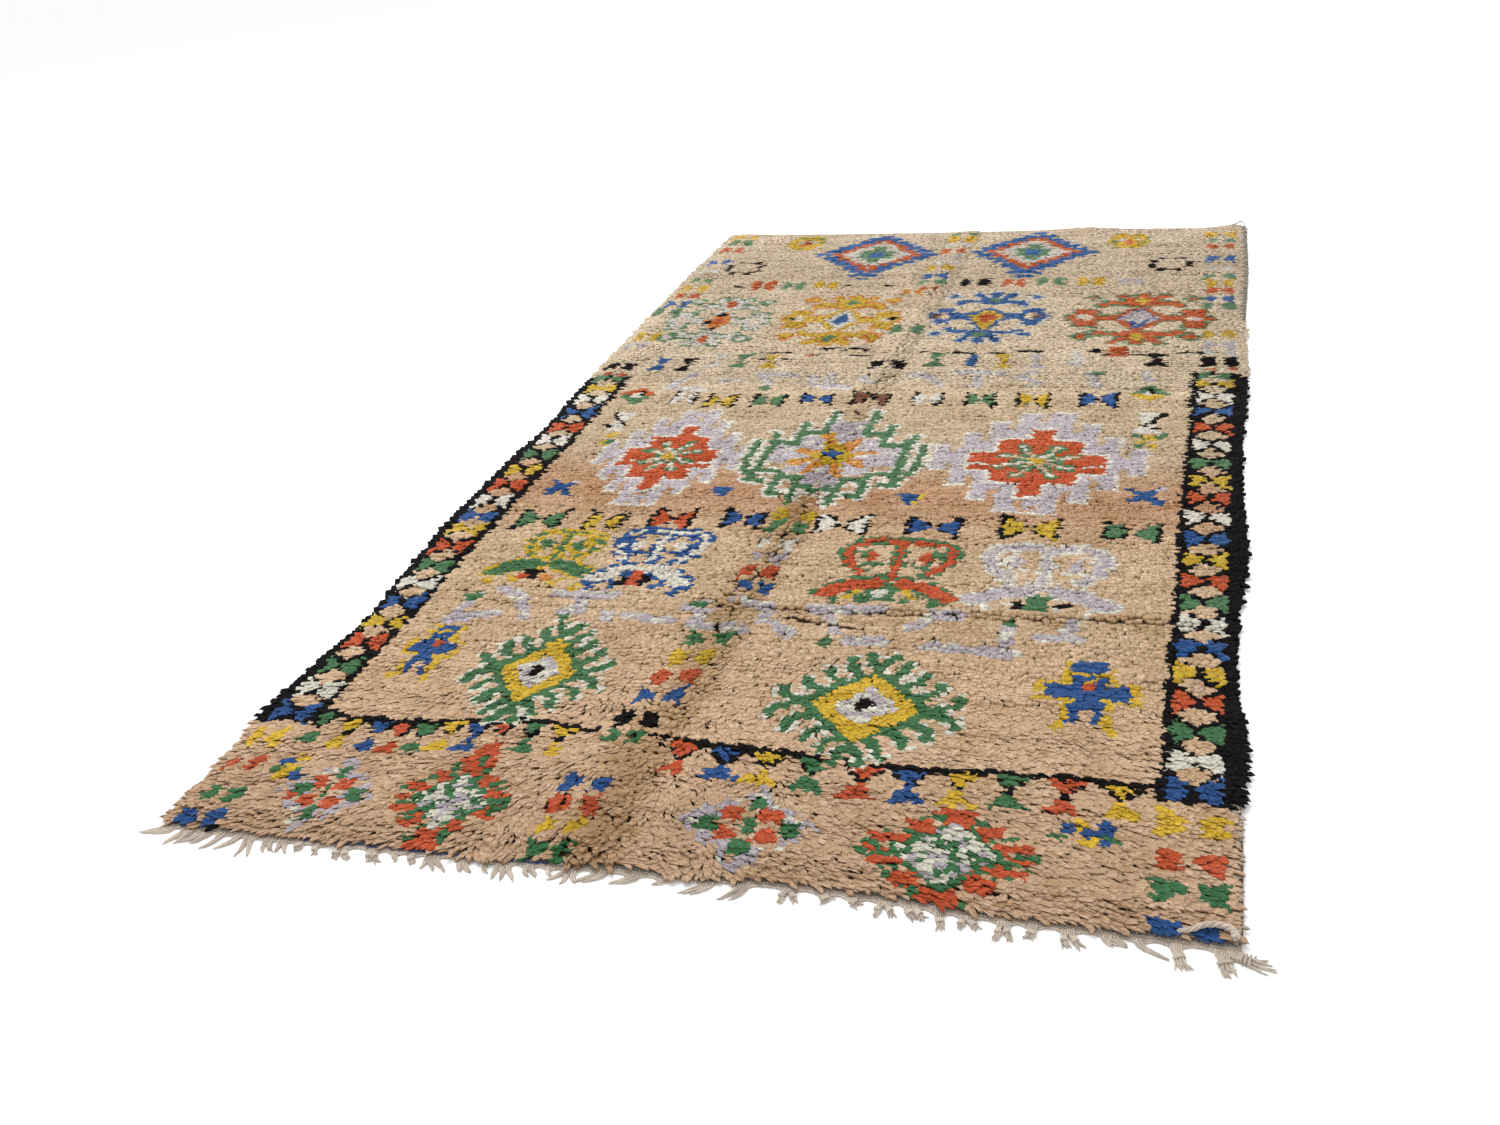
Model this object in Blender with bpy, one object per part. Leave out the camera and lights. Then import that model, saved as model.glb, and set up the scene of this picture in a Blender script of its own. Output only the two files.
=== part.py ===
# A Moroccan berber rug, lying flat.
#
# The cloth is one piece: wool pile knotted in rows on a woven foundation. It was folded once each way, so a
# fluffed ridge runs along it and a short buckle, with an open slit before it, runs across its right half. A
# narrow web and its knotted warp ends finish the near end.
#
# Places are in metres: x runs across the rug from its left edge, y along it from its near, fringed end, z up.
# Run it with: blender --background --python part.py

import math
import random
from collections import namedtuple

import bmesh
import bpy
from mathutils import Vector, noise
from mathutils.bvhtree import BVHTree

# The cloth.
WIDTH = 1.55
LENGTH = 3.00
FOUNDATION_TOP = 0.0055
PILE_TOP = 0.0175
EDGE_TOP = 0.0105
EDGE_FALL = 0.035
CLEARANCE = 0.0005

# How its edges wander: the two long edges by their distance from the near end, the short ones by x.
SideEdge = namedtuple("SideEdge", "along left right")
SIDE_EDGES = (
    SideEdge(0.00, 0.000, 1.550),
    SideEdge(0.15, 0.004, 1.550),
    SideEdge(0.30, -0.010, 1.546),
    SideEdge(0.45, 0.002, 1.550),
    SideEdge(0.60, 0.016, 1.538),
    SideEdge(0.78, 0.002, 1.540),
    SideEdge(1.00, -0.014, 1.556),
    SideEdge(1.25, -0.010, 1.546),
    SideEdge(1.50, 0.000, 1.544),
    SideEdge(1.80, -0.010, 1.554),
    SideEdge(2.20, -0.014, 1.550),
    SideEdge(2.60, -0.012, 1.556),
    SideEdge(3.00, -0.004, 1.552),
)
ShortEdge = namedtuple("ShortEdge", "across near far")
SHORT_EDGES = (
    ShortEdge(0.00, 0.000, 3.004),
    ShortEdge(0.20, 0.000, 2.996),
    ShortEdge(0.45, 0.004, 2.994),
    ShortEdge(0.75, 0.013, 2.996),
    ShortEdge(0.98, 0.021, 3.000),
    ShortEdge(1.10, 0.017, 3.008),
    ShortEdge(1.25, 0.006, 3.000),
    ShortEdge(1.40, 0.003, 3.000),
    ShortEdge(1.55, 0.000, 3.006),
)

# The fluffed ridge along the rug, from its near end to its far one.
RIDGE_NEAR_X = 0.675
RIDGE_FAR_X = 0.755
RIDGE_HALF = 0.045
RIDGE_RISE = 0.0065

# The buckle across the right half: a rolled ridge with an open slit on its near side.
BUCKLE_LEFT_X = 0.76
BUCKLE_RIGHT_X = 1.43
BUCKLE_LEFT_Y = 0.712
BUCKLE_RIGHT_Y = 0.742
BUCKLE_FADE = 0.10
BUCKLE_RISE = 0.0075
SLIT_DEPTH = 0.0070
BUCKLE_ROWS = (-0.040, -0.024, -0.012, 0.002, 0.018, 0.036)
BuckleShape = namedtuple("BuckleShape", "beside lift")
BUCKLE_SHAPE = (
    BuckleShape(-0.040, 0.0),
    BuckleShape(-0.024, -SLIT_DEPTH),
    BuckleShape(-0.012, -SLIT_DEPTH * 0.4),
    BuckleShape(0.002, BUCKLE_RISE),
    BuckleShape(0.018, BUCKLE_RISE * 0.5),
    BuckleShape(0.036, 0.0),
)

# Places where the far end stands a little off the floor, so that its pile shows higher.
Lift = namedtuple("Lift", "x y rise radius")
FAR_LIFTS = (
    Lift(0.06, 3.00, 0.005, 0.07),
    Lift(1.11, 3.00, 0.008, 0.11),
    Lift(1.53, 3.00, 0.013, 0.09),
)

# The grid that the pile is shaped from: columns left of the ridge, over it and right of it, and rows before
# the buckle and past it.
COLUMNS_LEFT = 15
COLUMNS_RIGHT = 17
RIDGE_COLUMNS = (-1.0, -0.5, 0.0, 0.5)
ROWS_NEAR = 16
ROWS_FAR = 54

# Lumps of the pile: alternate rows, clumps of many locks, and tufts.
ROW_RELIEF = 0.0016
CLUMP_RELIEF = 0.0030
CLUMP_PITCH = Vector((0.16, 0.11, 1.0))
TUFT_RELIEF = 0.0032
TUFT_PITCH = Vector((0.052, 0.045, 1.0))
RIDGE_UNEVENNESS = 0.5
RIDGE_LUMPS_PER_METRE = 14
CLUMP_LAYER, TUFT_LAYER = 3.1, 8.7
EDGE_LUMPS = 0.5

# Wool locks at the rim, one for each step of the grid.
LOCK_REACH = 0.0125
LOCK_REACH_SPREAD = 0.4
LOCK_LEAN = 0.008
LOCK_WIDTH_KEPT = 0.24
LOCK_HEIGHT_KEPT = 0.45
LOCK_DROP = 0.0025
LEAST_DROP = 0.2
BARE_STEPS_AT_NEAR_CORNERS = 1

# The web at the near end and the warp ends that leave it.
WEB_DEPTH = 0.011
WEB_THICK = 0.0030
TAIL_GAP = 0.0012
ROUND_OFF = 0.62
Bunch = namedtuple("Bunch", "x width tails reach lean splay kind")
FRINGE = (
    Bunch(0.010, 0.009, 2, 0.012, -0.026, 0.010, "wisp"),
    Bunch(0.048, 0.008, 2, 0.032, -0.014, 0.006, "wisp"),
    Bunch(0.078, 0.009, 2, 0.025, -0.018, 0.008, "wisp"),
    Bunch(0.106, 0.007, 1, 0.030, -0.012, 0.000, "wisp"),
    Bunch(0.134, 0.007, 1, 0.028, -0.018, 0.000, "wisp"),
    Bunch(0.156, 0.006, 2, 0.040, 0.010, 0.010, "wisp"),
    Bunch(0.188, 0.006, 2, 0.024, 0.012, 0.006, "wisp"),
    Bunch(0.212, 0.006, 2, 0.022, 0.010, 0.008, "wisp"),
    Bunch(0.240, 0.009, 1, 0.010, 0.006, 0.000, "knot"),
    Bunch(0.270, 0.006, 1, 0.018, 0.003, 0.000, "knot"),
    Bunch(0.312, 0.008, 2, 0.026, 0.008, 0.010, "knot"),
    Bunch(0.360, 0.007, 2, 0.022, 0.012, 0.006, "knot"),
    Bunch(0.396, 0.006, 1, 0.013, 0.008, 0.000, "wisp"),
    Bunch(0.424, 0.008, 1, 0.014, 0.006, 0.000, "knot"),
    Bunch(0.455, 0.006, 3, 0.025, 0.012, 0.012, "wisp"),
    Bunch(0.504, 0.006, 2, 0.022, 0.010, 0.008, "wisp"),
    Bunch(0.538, 0.006, 1, 0.016, 0.008, 0.000, "wisp"),
    Bunch(0.566, 0.006, 3, 0.033, 0.010, 0.010, "wisp"),
    Bunch(0.603, 0.006, 2, 0.018, 0.012, 0.006, "wisp"),
    Bunch(0.634, 0.006, 1, 0.012, 0.006, 0.000, "wisp"),
    Bunch(0.664, 0.006, 3, 0.026, -0.004, 0.012, "wisp"),
    Bunch(0.708, 0.007, 2, 0.020, -0.022, 0.006, "wisp"),
    Bunch(0.757, 0.006, 2, 0.016, -0.024, 0.006, "wisp"),
    Bunch(0.800, 0.006, 1, 0.010, -0.010, 0.000, "wisp"),
    Bunch(0.862, 0.007, 2, 0.026, -0.024, 0.008, "wisp"),
    Bunch(0.912, 0.006, 2, 0.030, -0.018, 0.012, "wisp"),
    Bunch(0.976, 0.007, 2, 0.024, 0.002, 0.016, "knot"),
    Bunch(1.024, 0.010, 1, 0.011, 0.006, 0.000, "knot"),
    Bunch(1.064, 0.010, 1, 0.009, 0.010, 0.000, "knot"),
    Bunch(1.106, 0.007, 2, 0.025, 0.004, 0.020, "knot"),
    Bunch(1.142, 0.008, 2, 0.019, 0.016, 0.008, "knot"),
    Bunch(1.178, 0.009, 1, 0.028, 0.010, 0.000, "knot"),
    Bunch(1.214, 0.007, 2, 0.021, 0.008, 0.016, "knot"),
    Bunch(1.262, 0.007, 2, 0.032, 0.000, 0.010, "knot"),
    Bunch(1.298, 0.010, 1, 0.020, -0.004, 0.000, "knot"),
    Bunch(1.342, 0.007, 2, 0.030, 0.010, 0.010, "knot"),
    Bunch(1.394, 0.008, 2, 0.012, 0.014, 0.008, "wisp"),
    Bunch(1.428, 0.006, 1, 0.022, 0.032, 0.000, "wisp"),
    Bunch(1.472, 0.010, 2, 0.036, 0.014, 0.010, "knot"),
    Bunch(1.524, 0.011, 2, 0.032, 0.018, 0.010, "knot"),
    Bunch(1.5445, 0.010, 1, 0.012, 0.040, 0.000, "knot"),
)
Section = namedtuple("Section", "along width height")
TAIL_SECTIONS = {
    "wisp": (Section(0.40, 0.92, 0.0046), Section(0.75, 0.62, 0.0032), Section(1.00, 0.16, 0.0010)),
    "knot": (Section(0.34, 0.80, 0.0052), Section(0.56, 1.12, 0.0078), Section(1.00, 0.46, 0.0018)),
}

# The plied warp bundle over the near right corner, and the warp loop at the far right one. Their places are
# on the pile, and lift is how far the cord's own line stands above where it would rest.
Stop = namedtuple("Stop", "x y lift")
CORNER_CORD_RADIUS = 0.0032
CORNER_CORD = (
    Stop(1.541, 0.006, 0.000),
    Stop(1.537, 0.017, 0.000),
    Stop(1.524, 0.024, 0.001),
    Stop(1.508, 0.020, 0.002),
    Stop(1.495, 0.011, 0.001),
    Stop(1.482, 0.004, 0.000),
)
FAR_TUFT_RADIUS = 0.0022
FAR_TUFT = (
    Stop(1.512, 2.982, 0.000),
    Stop(1.522, 2.990, 0.004),
    Stop(1.532, 2.996, 0.009),
    Stop(1.542, 2.994, 0.007),
    Stop(1.546, 2.984, 0.000),
)
CORD_SAMPLES = 5
CORD_CLEARANCE = 0.0004
REST_RINGS = (0.0, 0.5, 0.9)
REST_STEPS = 8

# Colours of the wool and of the cotton.
PEACH_WOOL = (0.56, 0.37, 0.22, 1.0)
RAW_COTTON = (0.50, 0.45, 0.39, 1.0)
WOOL_ROUGHNESS = 0.95

# Each lock's chance is seeded from its own place, in millimetres, with a stride between neighbouring columns.
SEED = 7
SEED_STEPS_PER_METRE = 1000
SEED_STRIDE = 10007

# Levels of the grid before it is shaped: its underside, its rim's upper edge at half height, and its top.
TOP_LEVEL = 1.0
RIM_LEVEL = 0.5

# A face of the rim lies on a side if it is under this part of a grid step from it.
AT_EDGE = 0.25


def read_table(table, place, column):
    """One column of a table at a place between its rows, on a smooth line."""
    if place <= table[0][0]:
        return getattr(table[0], column)
    for low, high in zip(table, table[1:]):
        if place <= high[0]:
            share = (place - low[0]) / (high[0] - low[0])
            share = share * share * (3 - 2 * share)
            return getattr(low, column) * (1 - share) + getattr(high, column) * share
    return getattr(table[-1], column)


def spread(start, end, count):
    """Even places from start up to end, without end itself."""
    return [start + (end - start) * step / count for step in range(count)]


def fade(distance, reach):
    """1 at no distance and 0 at the reach or past it, on a soft curve."""
    share = min(abs(distance) / reach, 1.0)
    return (1 - share * share) ** 2


def ridge_x(y):
    """Where the ridge along the rug lies at y."""
    return RIDGE_NEAR_X + (RIDGE_FAR_X - RIDGE_NEAR_X) * y / LENGTH


def buckle_y(x):
    """Where the buckle across the rug lies at x."""
    share = (x - BUCKLE_LEFT_X) / (BUCKLE_RIGHT_X - BUCKLE_LEFT_X)
    share = min(max(share, 0.0), 1.0)
    return BUCKLE_LEFT_Y + (BUCKLE_RIGHT_Y - BUCKLE_LEFT_Y) * share


def buckle_strength(x):
    """1 along the buckle and 0 beyond its ends."""
    outside = max(BUCKLE_LEFT_X - x, x - BUCKLE_RIGHT_X, 0.0)
    return fade(outside, BUCKLE_FADE)


def row_places(x):
    """The y of each row of the grid at x."""
    middle = buckle_y(x)
    before = spread(read_table(SHORT_EDGES, x, "near"), middle + BUCKLE_ROWS[0], ROWS_NEAR)
    across = [middle + beside for beside in BUCKLE_ROWS[:-1]]
    end = read_table(SHORT_EDGES, x, "far")
    past = spread(middle + BUCKLE_ROWS[-1], end, ROWS_FAR)
    return before + across + past + [end]


def column_places(y):
    """The x of each column of the grid at y."""
    middle = ridge_x(y)
    before = spread(read_table(SIDE_EDGES, y, "left"), middle - RIDGE_HALF, COLUMNS_LEFT)
    across = [middle + beside * RIDGE_HALF for beside in RIDGE_COLUMNS]
    end = read_table(SIDE_EDGES, y, "right")
    past = spread(middle + RIDGE_HALF, end, COLUMNS_RIGHT)
    return before + across + past + [end]


COLUMNS = COLUMNS_LEFT + len(RIDGE_COLUMNS) + COLUMNS_RIGHT
ROWS = ROWS_NEAR + len(BUCKLE_ROWS) - 1 + ROWS_FAR


def grid_place(column, row):
    """The x and y of one point of the grid."""
    rough_x = column_places(LENGTH * row / ROWS)[column]
    y = row_places(rough_x)[row]
    return column_places(y)[column], y


def lumps(x, y, row):
    """How far the locks stand above or below the mean top of the pile."""
    place = Vector((x, y, 0.0))
    rows = ROW_RELIEF * (1 if row % 2 else -1)
    clumps = CLUMP_RELIEF * noise.noise(Vector((x / CLUMP_PITCH.x, y / CLUMP_PITCH.y, CLUMP_LAYER)))
    tufts = TUFT_RELIEF * noise.noise(Vector((x / TUFT_PITCH.x, y / TUFT_PITCH.y, TUFT_LAYER)))
    uneven = 1 + RIDGE_UNEVENNESS * noise.noise(place * RIDGE_LUMPS_PER_METRE)
    ridge = RIDGE_RISE * fade(x - ridge_x(y), RIDGE_HALF) * uneven
    buckle = read_table(BUCKLE_SHAPE, y - buckle_y(x), "lift") * buckle_strength(x)
    lifts = sum(lift.rise * fade(math.hypot(x - lift.x, y - lift.y), lift.radius) for lift in FAR_LIFTS)
    return rows + clumps + tufts + ridge + buckle + lifts


def pile_top(x, y, row):
    """The height of the pile, lower at the edges, where it thins out."""
    inwards = min(
        x - read_table(SIDE_EDGES, y, "left"),
        read_table(SIDE_EDGES, y, "right") - x,
        y - read_table(SHORT_EDGES, x, "near"),
        read_table(SHORT_EDGES, x, "far") - y,
    )
    thinning = fade(inwards, EDGE_FALL) if inwards < EDGE_FALL else 0.0
    full = PILE_TOP + lumps(x, y, row)
    at_edge = EDGE_TOP + EDGE_LUMPS * lumps(x, y, row)
    return full + (at_edge - full) * thinning


def pull_lock(face):
    """Draw a wall face out into the tapered tip of a lock of wool, each by its own place's chance."""
    centre = face.calc_center_median()
    across, along_rug = (round(place * SEED_STEPS_PER_METRE) for place in centre.xy)
    chance = random.Random(SEED + across * SEED_STRIDE + along_rug)
    outwards = Vector((face.normal.x, face.normal.y, 0.0)).normalized()
    along = Vector((-outwards.y, outwards.x, 0.0))
    reach = LOCK_REACH * (1 + LOCK_REACH_SPREAD * chance.uniform(-1, 1))
    tip = centre + outwards * reach + along * LOCK_LEAN * chance.uniform(-1, 1)
    tip.z = centre.z - LOCK_DROP * chance.uniform(LEAST_DROP, 1.0)
    for vertex in face.verts:
        away = vertex.co - centre
        sideways = along * away.dot(along) * LOCK_WIDTH_KEPT
        vertex.co = tip + sideways + Vector((0.0, 0.0, away.z * LOCK_HEIGHT_KEPT))


def rug_body():
    """The pile on its foundation: a grid raised to the pile's height, with wool locks at its rim."""
    shape = bmesh.new()
    bmesh.ops.create_grid(shape, x_segments=COLUMNS, y_segments=ROWS, size=1.0)
    underside = shape.faces[:]
    raised = bmesh.ops.extrude_face_region(shape, geom=underside, use_keep_orig=True)["geom"]
    for vertex in (item for item in raised if isinstance(item, bmesh.types.BMVert)):
        vertex.co.z = TOP_LEVEL
    upright = [edge for edge in shape.edges if edge.verts[0].co.z != edge.verts[1].co.z]
    bmesh.ops.subdivide_edges(shape, edges=upright, cuts=1)
    bmesh.ops.dissolve_faces(shape, faces=underside, use_verts=False)
    bmesh.ops.recalc_face_normals(shape, faces=shape.faces[:])
    rim = [face for face in shape.faces if RIM_LEVEL < face.calc_center_median().z < TOP_LEVEL]
    locks = []
    for face in rim:
        column = (face.calc_center_median().x + 1) / 2 * COLUMNS
        row = (face.calc_center_median().y + 1) / 2 * ROWS
        at_far_end = row > ROWS - AT_EDGE
        on_a_side = column < AT_EDGE or column > COLUMNS - AT_EDGE
        if not at_far_end and not (on_a_side and row < BARE_STEPS_AT_NEAR_CORNERS):
            locks.append(face)
    for vertex in shape.verts:
        column = round((vertex.co.x + 1) / 2 * COLUMNS)
        row = round((vertex.co.y + 1) / 2 * ROWS)
        x, y = grid_place(column, row)
        level = vertex.co.z
        height = 0.0
        if level > RIM_LEVEL:
            height = pile_top(x, y, row)
        elif level > 0.0:
            height = FOUNDATION_TOP
        vertex.co = (x, y, height)
    tips = bmesh.ops.extrude_discrete_faces(shape, faces=locks)["faces"]
    shape.normal_update()
    for face in tips:
        pull_lock(face)
    bmesh.ops.triangulate(shape, faces=shape.faces[:])
    return shape


def tails():
    """Each tail of the fringe, left to right: where it leaves the web, its width, its tip and its kind."""
    found = []
    for bunch in FRINGE:
        pitch = bunch.width + TAIL_GAP
        for number in range(bunch.tails):
            beside = number - (bunch.tails - 1) / 2
            root = bunch.x + beside * pitch
            lean = bunch.lean + beside * bunch.splay
            reach = bunch.reach * (1 - 0.16 * abs(beside) - 0.08 * (number % 2))
            found.append((root, bunch.width, lean, reach, bunch.kind))
    return found


def web_front(x):
    """The y of the web's outer edge at x."""
    return read_table(SHORT_EDGES, x, "near") - CLEARANCE - WEB_DEPTH


def grow_tail(shape, face, tail):
    """Draw a tail of warp out of the web's front face, level on the floor, section by section."""
    root, width, lean, reach, kind = tail
    start = Vector((root, web_front(root), 0.0))
    for section in TAIL_SECTIONS[kind]:
        face = bmesh.ops.extrude_discrete_faces(shape, faces=[face])["faces"][0]
        along = section.along
        centre = start + Vector((lean * along ** 1.5, -reach * along, 0.0))
        heading = Vector((lean * 1.5 * along ** 0.5, -reach, 0.0)).normalized()
        side = Vector((-heading.y, heading.x, 0.0))
        half = width * section.width / 2
        left, right = -1, 1
        middle = face.calc_center_median()
        by_side = sorted(face.verts, key=lambda vertex: (vertex.co - middle).dot(side))
        for pair, sign in ((by_side[:2], left), (by_side[2:], right)):
            low, high = sorted(pair, key=lambda vertex: vertex.co.z)
            low.co = centre + side * half * sign
            high.co = centre + side * half * sign * ROUND_OFF + Vector((0.0, 0.0, section.height))


def near_fringe():
    """The web along the near end and the warp ends that leave it, fused at their roots."""
    strands = tails()
    breaks = [0.0]
    for root, width, _, _, _ in strands:
        breaks += [root - width / 2, root + width / 2]
    breaks.append(WIDTH)
    steps = len(breaks) - 1
    shape = bmesh.new()
    bmesh.ops.create_grid(shape, x_segments=steps, y_segments=1, size=1.0)
    raised = bmesh.ops.extrude_face_region(shape, geom=shape.faces[:], use_keep_orig=True)["geom"]
    for vertex in (item for item in raised if isinstance(item, bmesh.types.BMVert)):
        vertex.co.z = WEB_THICK
    bmesh.ops.recalc_face_normals(shape, faces=shape.faces[:])
    front = {}
    for face in shape.faces:
        centre = face.calc_center_median()
        if centre.y < -0.9:
            front[int((centre.x + 1) / 2 * steps)] = face
    for vertex in shape.verts:
        x = breaks[round((vertex.co.x + 1) / 2 * steps)]
        front_y = web_front(x)
        vertex.co.x = x
        vertex.co.y = front_y if vertex.co.y < 0 else front_y + WEB_DEPTH
    for number, tail in enumerate(strands):
        grow_tail(shape, front[2 * number + 1], tail)
    bmesh.ops.triangulate(shape, faces=shape.faces[:])
    return shape


def rest_height(surface, x, y, radius):
    """How high the line of a round cord lies that rests on a surface at x and y."""
    tallest = 0.0
    for ring in REST_RINGS:
        reach = radius * ring
        for step in range(REST_STEPS):
            turn = math.tau * step / REST_STEPS
            above = Vector((x + reach * math.cos(turn), y + reach * math.sin(turn), 1.0))
            hit = surface.ray_cast(above, Vector((0.0, 0.0, -1.0)))
            if hit[0] is not None:
                tallest = max(tallest, hit[0].z + math.sqrt(radius ** 2 - reach ** 2))
    return tallest + CORD_CLEARANCE


def laid_cord(name, stops, radius, surface):
    """A cord laid over the pile, as a smooth tube with closed ends."""
    points = []
    for step in range((len(stops) - 1) * CORD_SAMPLES + 1):
        place = step / CORD_SAMPLES
        first = min(int(place), len(stops) - 2)
        before, start = stops[max(first - 1, 0)], stops[first]
        end, after = stops[first + 1], stops[min(first + 2, len(stops) - 1)]
        share = place - first
        x, y, lift = (
            0.5 * (2 * b + (c - a) * share + (2 * a - 5 * b + 4 * c - d) * share ** 2
                   + (3 * b - a - 3 * c + d) * share ** 3)
            for a, b, c, d in zip(before, start, end, after)
        )
        points.append((x, y, rest_height(surface, x, y, radius) + max(lift, 0.0)))
    curve = bpy.data.curves.new(name, "CURVE")
    curve.dimensions = "3D"
    curve.bevel_depth = radius
    curve.bevel_resolution = 1
    curve.use_fill_caps = True
    line = curve.splines.new("POLY")
    line.points.add(len(points) - 1)
    for point, place in zip(line.points, points):
        point.co = (*place, 1.0)
    return bpy.data.objects.new(name, curve)


def finish_material(name, colour):
    """A dull fibre finish."""
    material = bpy.data.materials.new(name)
    material.use_nodes = True
    shader = material.node_tree.nodes["Principled BSDF"]
    shader.inputs["Base Color"].default_value = colour
    shader.inputs["Roughness"].default_value = WOOL_ROUGHNESS
    shader.inputs["Metallic"].default_value = 0.0
    return material


def object_from(name, shape):
    """A mesh object made of a finished shape."""
    mesh = bpy.data.meshes.new(name)
    shape.to_mesh(mesh)
    shape.free()
    return bpy.data.objects.new(name, mesh)


def main():
    for old in list(bpy.data.objects):
        bpy.data.objects.remove(old, do_unlink=True)
    collection = bpy.data.collections.new("moroccan_berber_rug")
    bpy.context.scene.collection.children.link(collection)
    wool = finish_material("pile_wool", PEACH_WOOL)
    cotton = finish_material("warp_cotton", RAW_COTTON)

    pile = rug_body()
    surface = BVHTree.FromBMesh(pile)
    cords = [
        laid_cord("corner_cord", CORNER_CORD, CORNER_CORD_RADIUS, surface),
        laid_cord("far_tuft", FAR_TUFT, FAR_TUFT_RADIUS, surface),
    ]
    body = object_from("rug_body", pile)
    fringe = object_from("near_fringe", near_fringe())
    body.data.materials.append(wool)
    for piece in [fringe, *cords]:
        piece.data.materials.append(cotton)

    # The rug stands on its origin: the middle of its whole box, at the floor.
    centre = bpy.data.objects.new("rug_centre", None)
    collection.objects.link(centre)
    for piece in [body, fringe, *cords]:
        collection.objects.link(piece)
    bpy.context.view_layer.update()
    corners = [Vector(corner) for piece in [body, fringe, *cords] for corner in piece.bound_box]
    low_x, high_x = min(c.x for c in corners), max(c.x for c in corners)
    low_y, high_y = min(c.y for c in corners), max(c.y for c in corners)
    centre.location = (-(low_x + high_x) / 2, -(low_y + high_y) / 2, 0.0)
    for piece in [body, fringe, *cords]:
        piece.parent = centre
    print("Middle of the rug's box, from its near left corner:", [-round(v, 5) for v in centre.location])
    print("Strands of fringe:", len(tails()))


main()
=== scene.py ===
# %% [markdown]
# # A Moroccan berber rug
# The rug is wool, knotted lock by lock on a cotton foundation, and it lies flat on a pale floor. Its looks
# come from three things: tens of thousands of locks that overlap like thatch, the traditional motifs that
# their dyes draw, and the loose warp ends at the near end. So the script charts the dye of each knot, grows
# real locks of wool from it, and then adds the web, the fringe, the cords and the foundation.

# %% Load the rug's frame
import math
from collections import namedtuple

import bpy
import numpy as np
from mathutils import Matrix, Vector, noise
from mathutils.bvhtree import BVHTree


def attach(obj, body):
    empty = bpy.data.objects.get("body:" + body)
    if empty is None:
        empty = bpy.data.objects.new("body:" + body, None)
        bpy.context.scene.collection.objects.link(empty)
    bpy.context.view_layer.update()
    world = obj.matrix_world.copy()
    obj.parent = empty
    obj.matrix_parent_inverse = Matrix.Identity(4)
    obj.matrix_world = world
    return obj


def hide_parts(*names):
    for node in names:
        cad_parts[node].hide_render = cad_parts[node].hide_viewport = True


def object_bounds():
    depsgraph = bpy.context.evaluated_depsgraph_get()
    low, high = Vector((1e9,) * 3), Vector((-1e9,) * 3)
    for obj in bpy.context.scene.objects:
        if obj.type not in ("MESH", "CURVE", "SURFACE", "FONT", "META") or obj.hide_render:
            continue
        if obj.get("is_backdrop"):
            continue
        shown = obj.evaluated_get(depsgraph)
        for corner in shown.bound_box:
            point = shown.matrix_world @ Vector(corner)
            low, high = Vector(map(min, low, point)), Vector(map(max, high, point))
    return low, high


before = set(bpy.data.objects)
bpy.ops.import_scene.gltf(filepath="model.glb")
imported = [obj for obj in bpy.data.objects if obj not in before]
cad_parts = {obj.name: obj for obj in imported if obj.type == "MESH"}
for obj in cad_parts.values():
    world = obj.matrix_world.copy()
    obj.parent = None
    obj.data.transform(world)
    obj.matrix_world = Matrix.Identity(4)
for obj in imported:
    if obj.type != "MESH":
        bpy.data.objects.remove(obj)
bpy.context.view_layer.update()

# %% [markdown]
# ## Where things are
# Plan places are told on the rug itself: x runs from its left edge, y from its near end. They are in
# metres, and long lists of them are in whole millimetres, which the function metres turns into metres.
# The frame's origin is the middle of the rug's whole box, so one shift takes a plan place there.

# %% Sizes of the cloth
WIDTH = 1.55
LENGTH = 3.00
MIDDLE = Vector((0.77706, 1.47975, 0.0))
FOUNDATION_TOP = 0.0045
SEED = 11
chance = np.random.default_rng(SEED)

SideEdge = namedtuple("SideEdge", "along left right")
SIDE_EDGES = (
    SideEdge(0.00, 0.000, 1.550), SideEdge(0.15, 0.004, 1.550), SideEdge(0.30, -0.010, 1.546),
    SideEdge(0.45, 0.002, 1.550), SideEdge(0.60, 0.016, 1.538), SideEdge(0.78, 0.002, 1.540),
    SideEdge(1.00, -0.014, 1.556), SideEdge(1.25, -0.010, 1.546), SideEdge(1.50, 0.000, 1.544),
    SideEdge(1.80, -0.010, 1.554), SideEdge(2.20, -0.014, 1.550), SideEdge(2.60, -0.012, 1.556),
    SideEdge(3.00, -0.004, 1.552),
)
ShortEdge = namedtuple("ShortEdge", "across near far")
SHORT_EDGES = (
    ShortEdge(0.00, 0.000, 3.004), ShortEdge(0.20, 0.000, 2.996), ShortEdge(0.45, 0.004, 2.994),
    ShortEdge(0.75, 0.013, 2.996), ShortEdge(0.98, 0.021, 3.000), ShortEdge(1.10, 0.017, 3.008),
    ShortEdge(1.25, 0.006, 3.000), ShortEdge(1.40, 0.003, 3.000), ShortEdge(1.55, 0.000, 3.006),
)


def soft_step(value, start, end):
    """0 before start and 1 past end, on a smooth curve between them. start may be the larger."""
    share = np.clip((value - start) / (end - start), 0, 1)
    return share * share * (3 - 2 * share)


def read_table(table, place, column):
    """One column of a table at many places, on a smooth line from row to row."""
    place = np.asarray(place, float)
    found = np.full(place.shape, getattr(table[0], column))
    for low, high in zip(table, table[1:]):
        rise = getattr(high, column) - getattr(low, column)
        found = found + rise * soft_step(place, low[0], high[0])
    return found


def in_frame(x, y, z=0.0):
    """A plan place as a place in the frame."""
    return Vector((x, y, z)) - MIDDLE


def all_in_frame(x, y, z):
    """Many plan places as rows of places in the frame."""
    return np.stack(np.broadcast_arrays(x, y, z), 1) - np.array(MIDDLE)


print("Cloth:", WIDTH, "by", LENGTH, "m")

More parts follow.
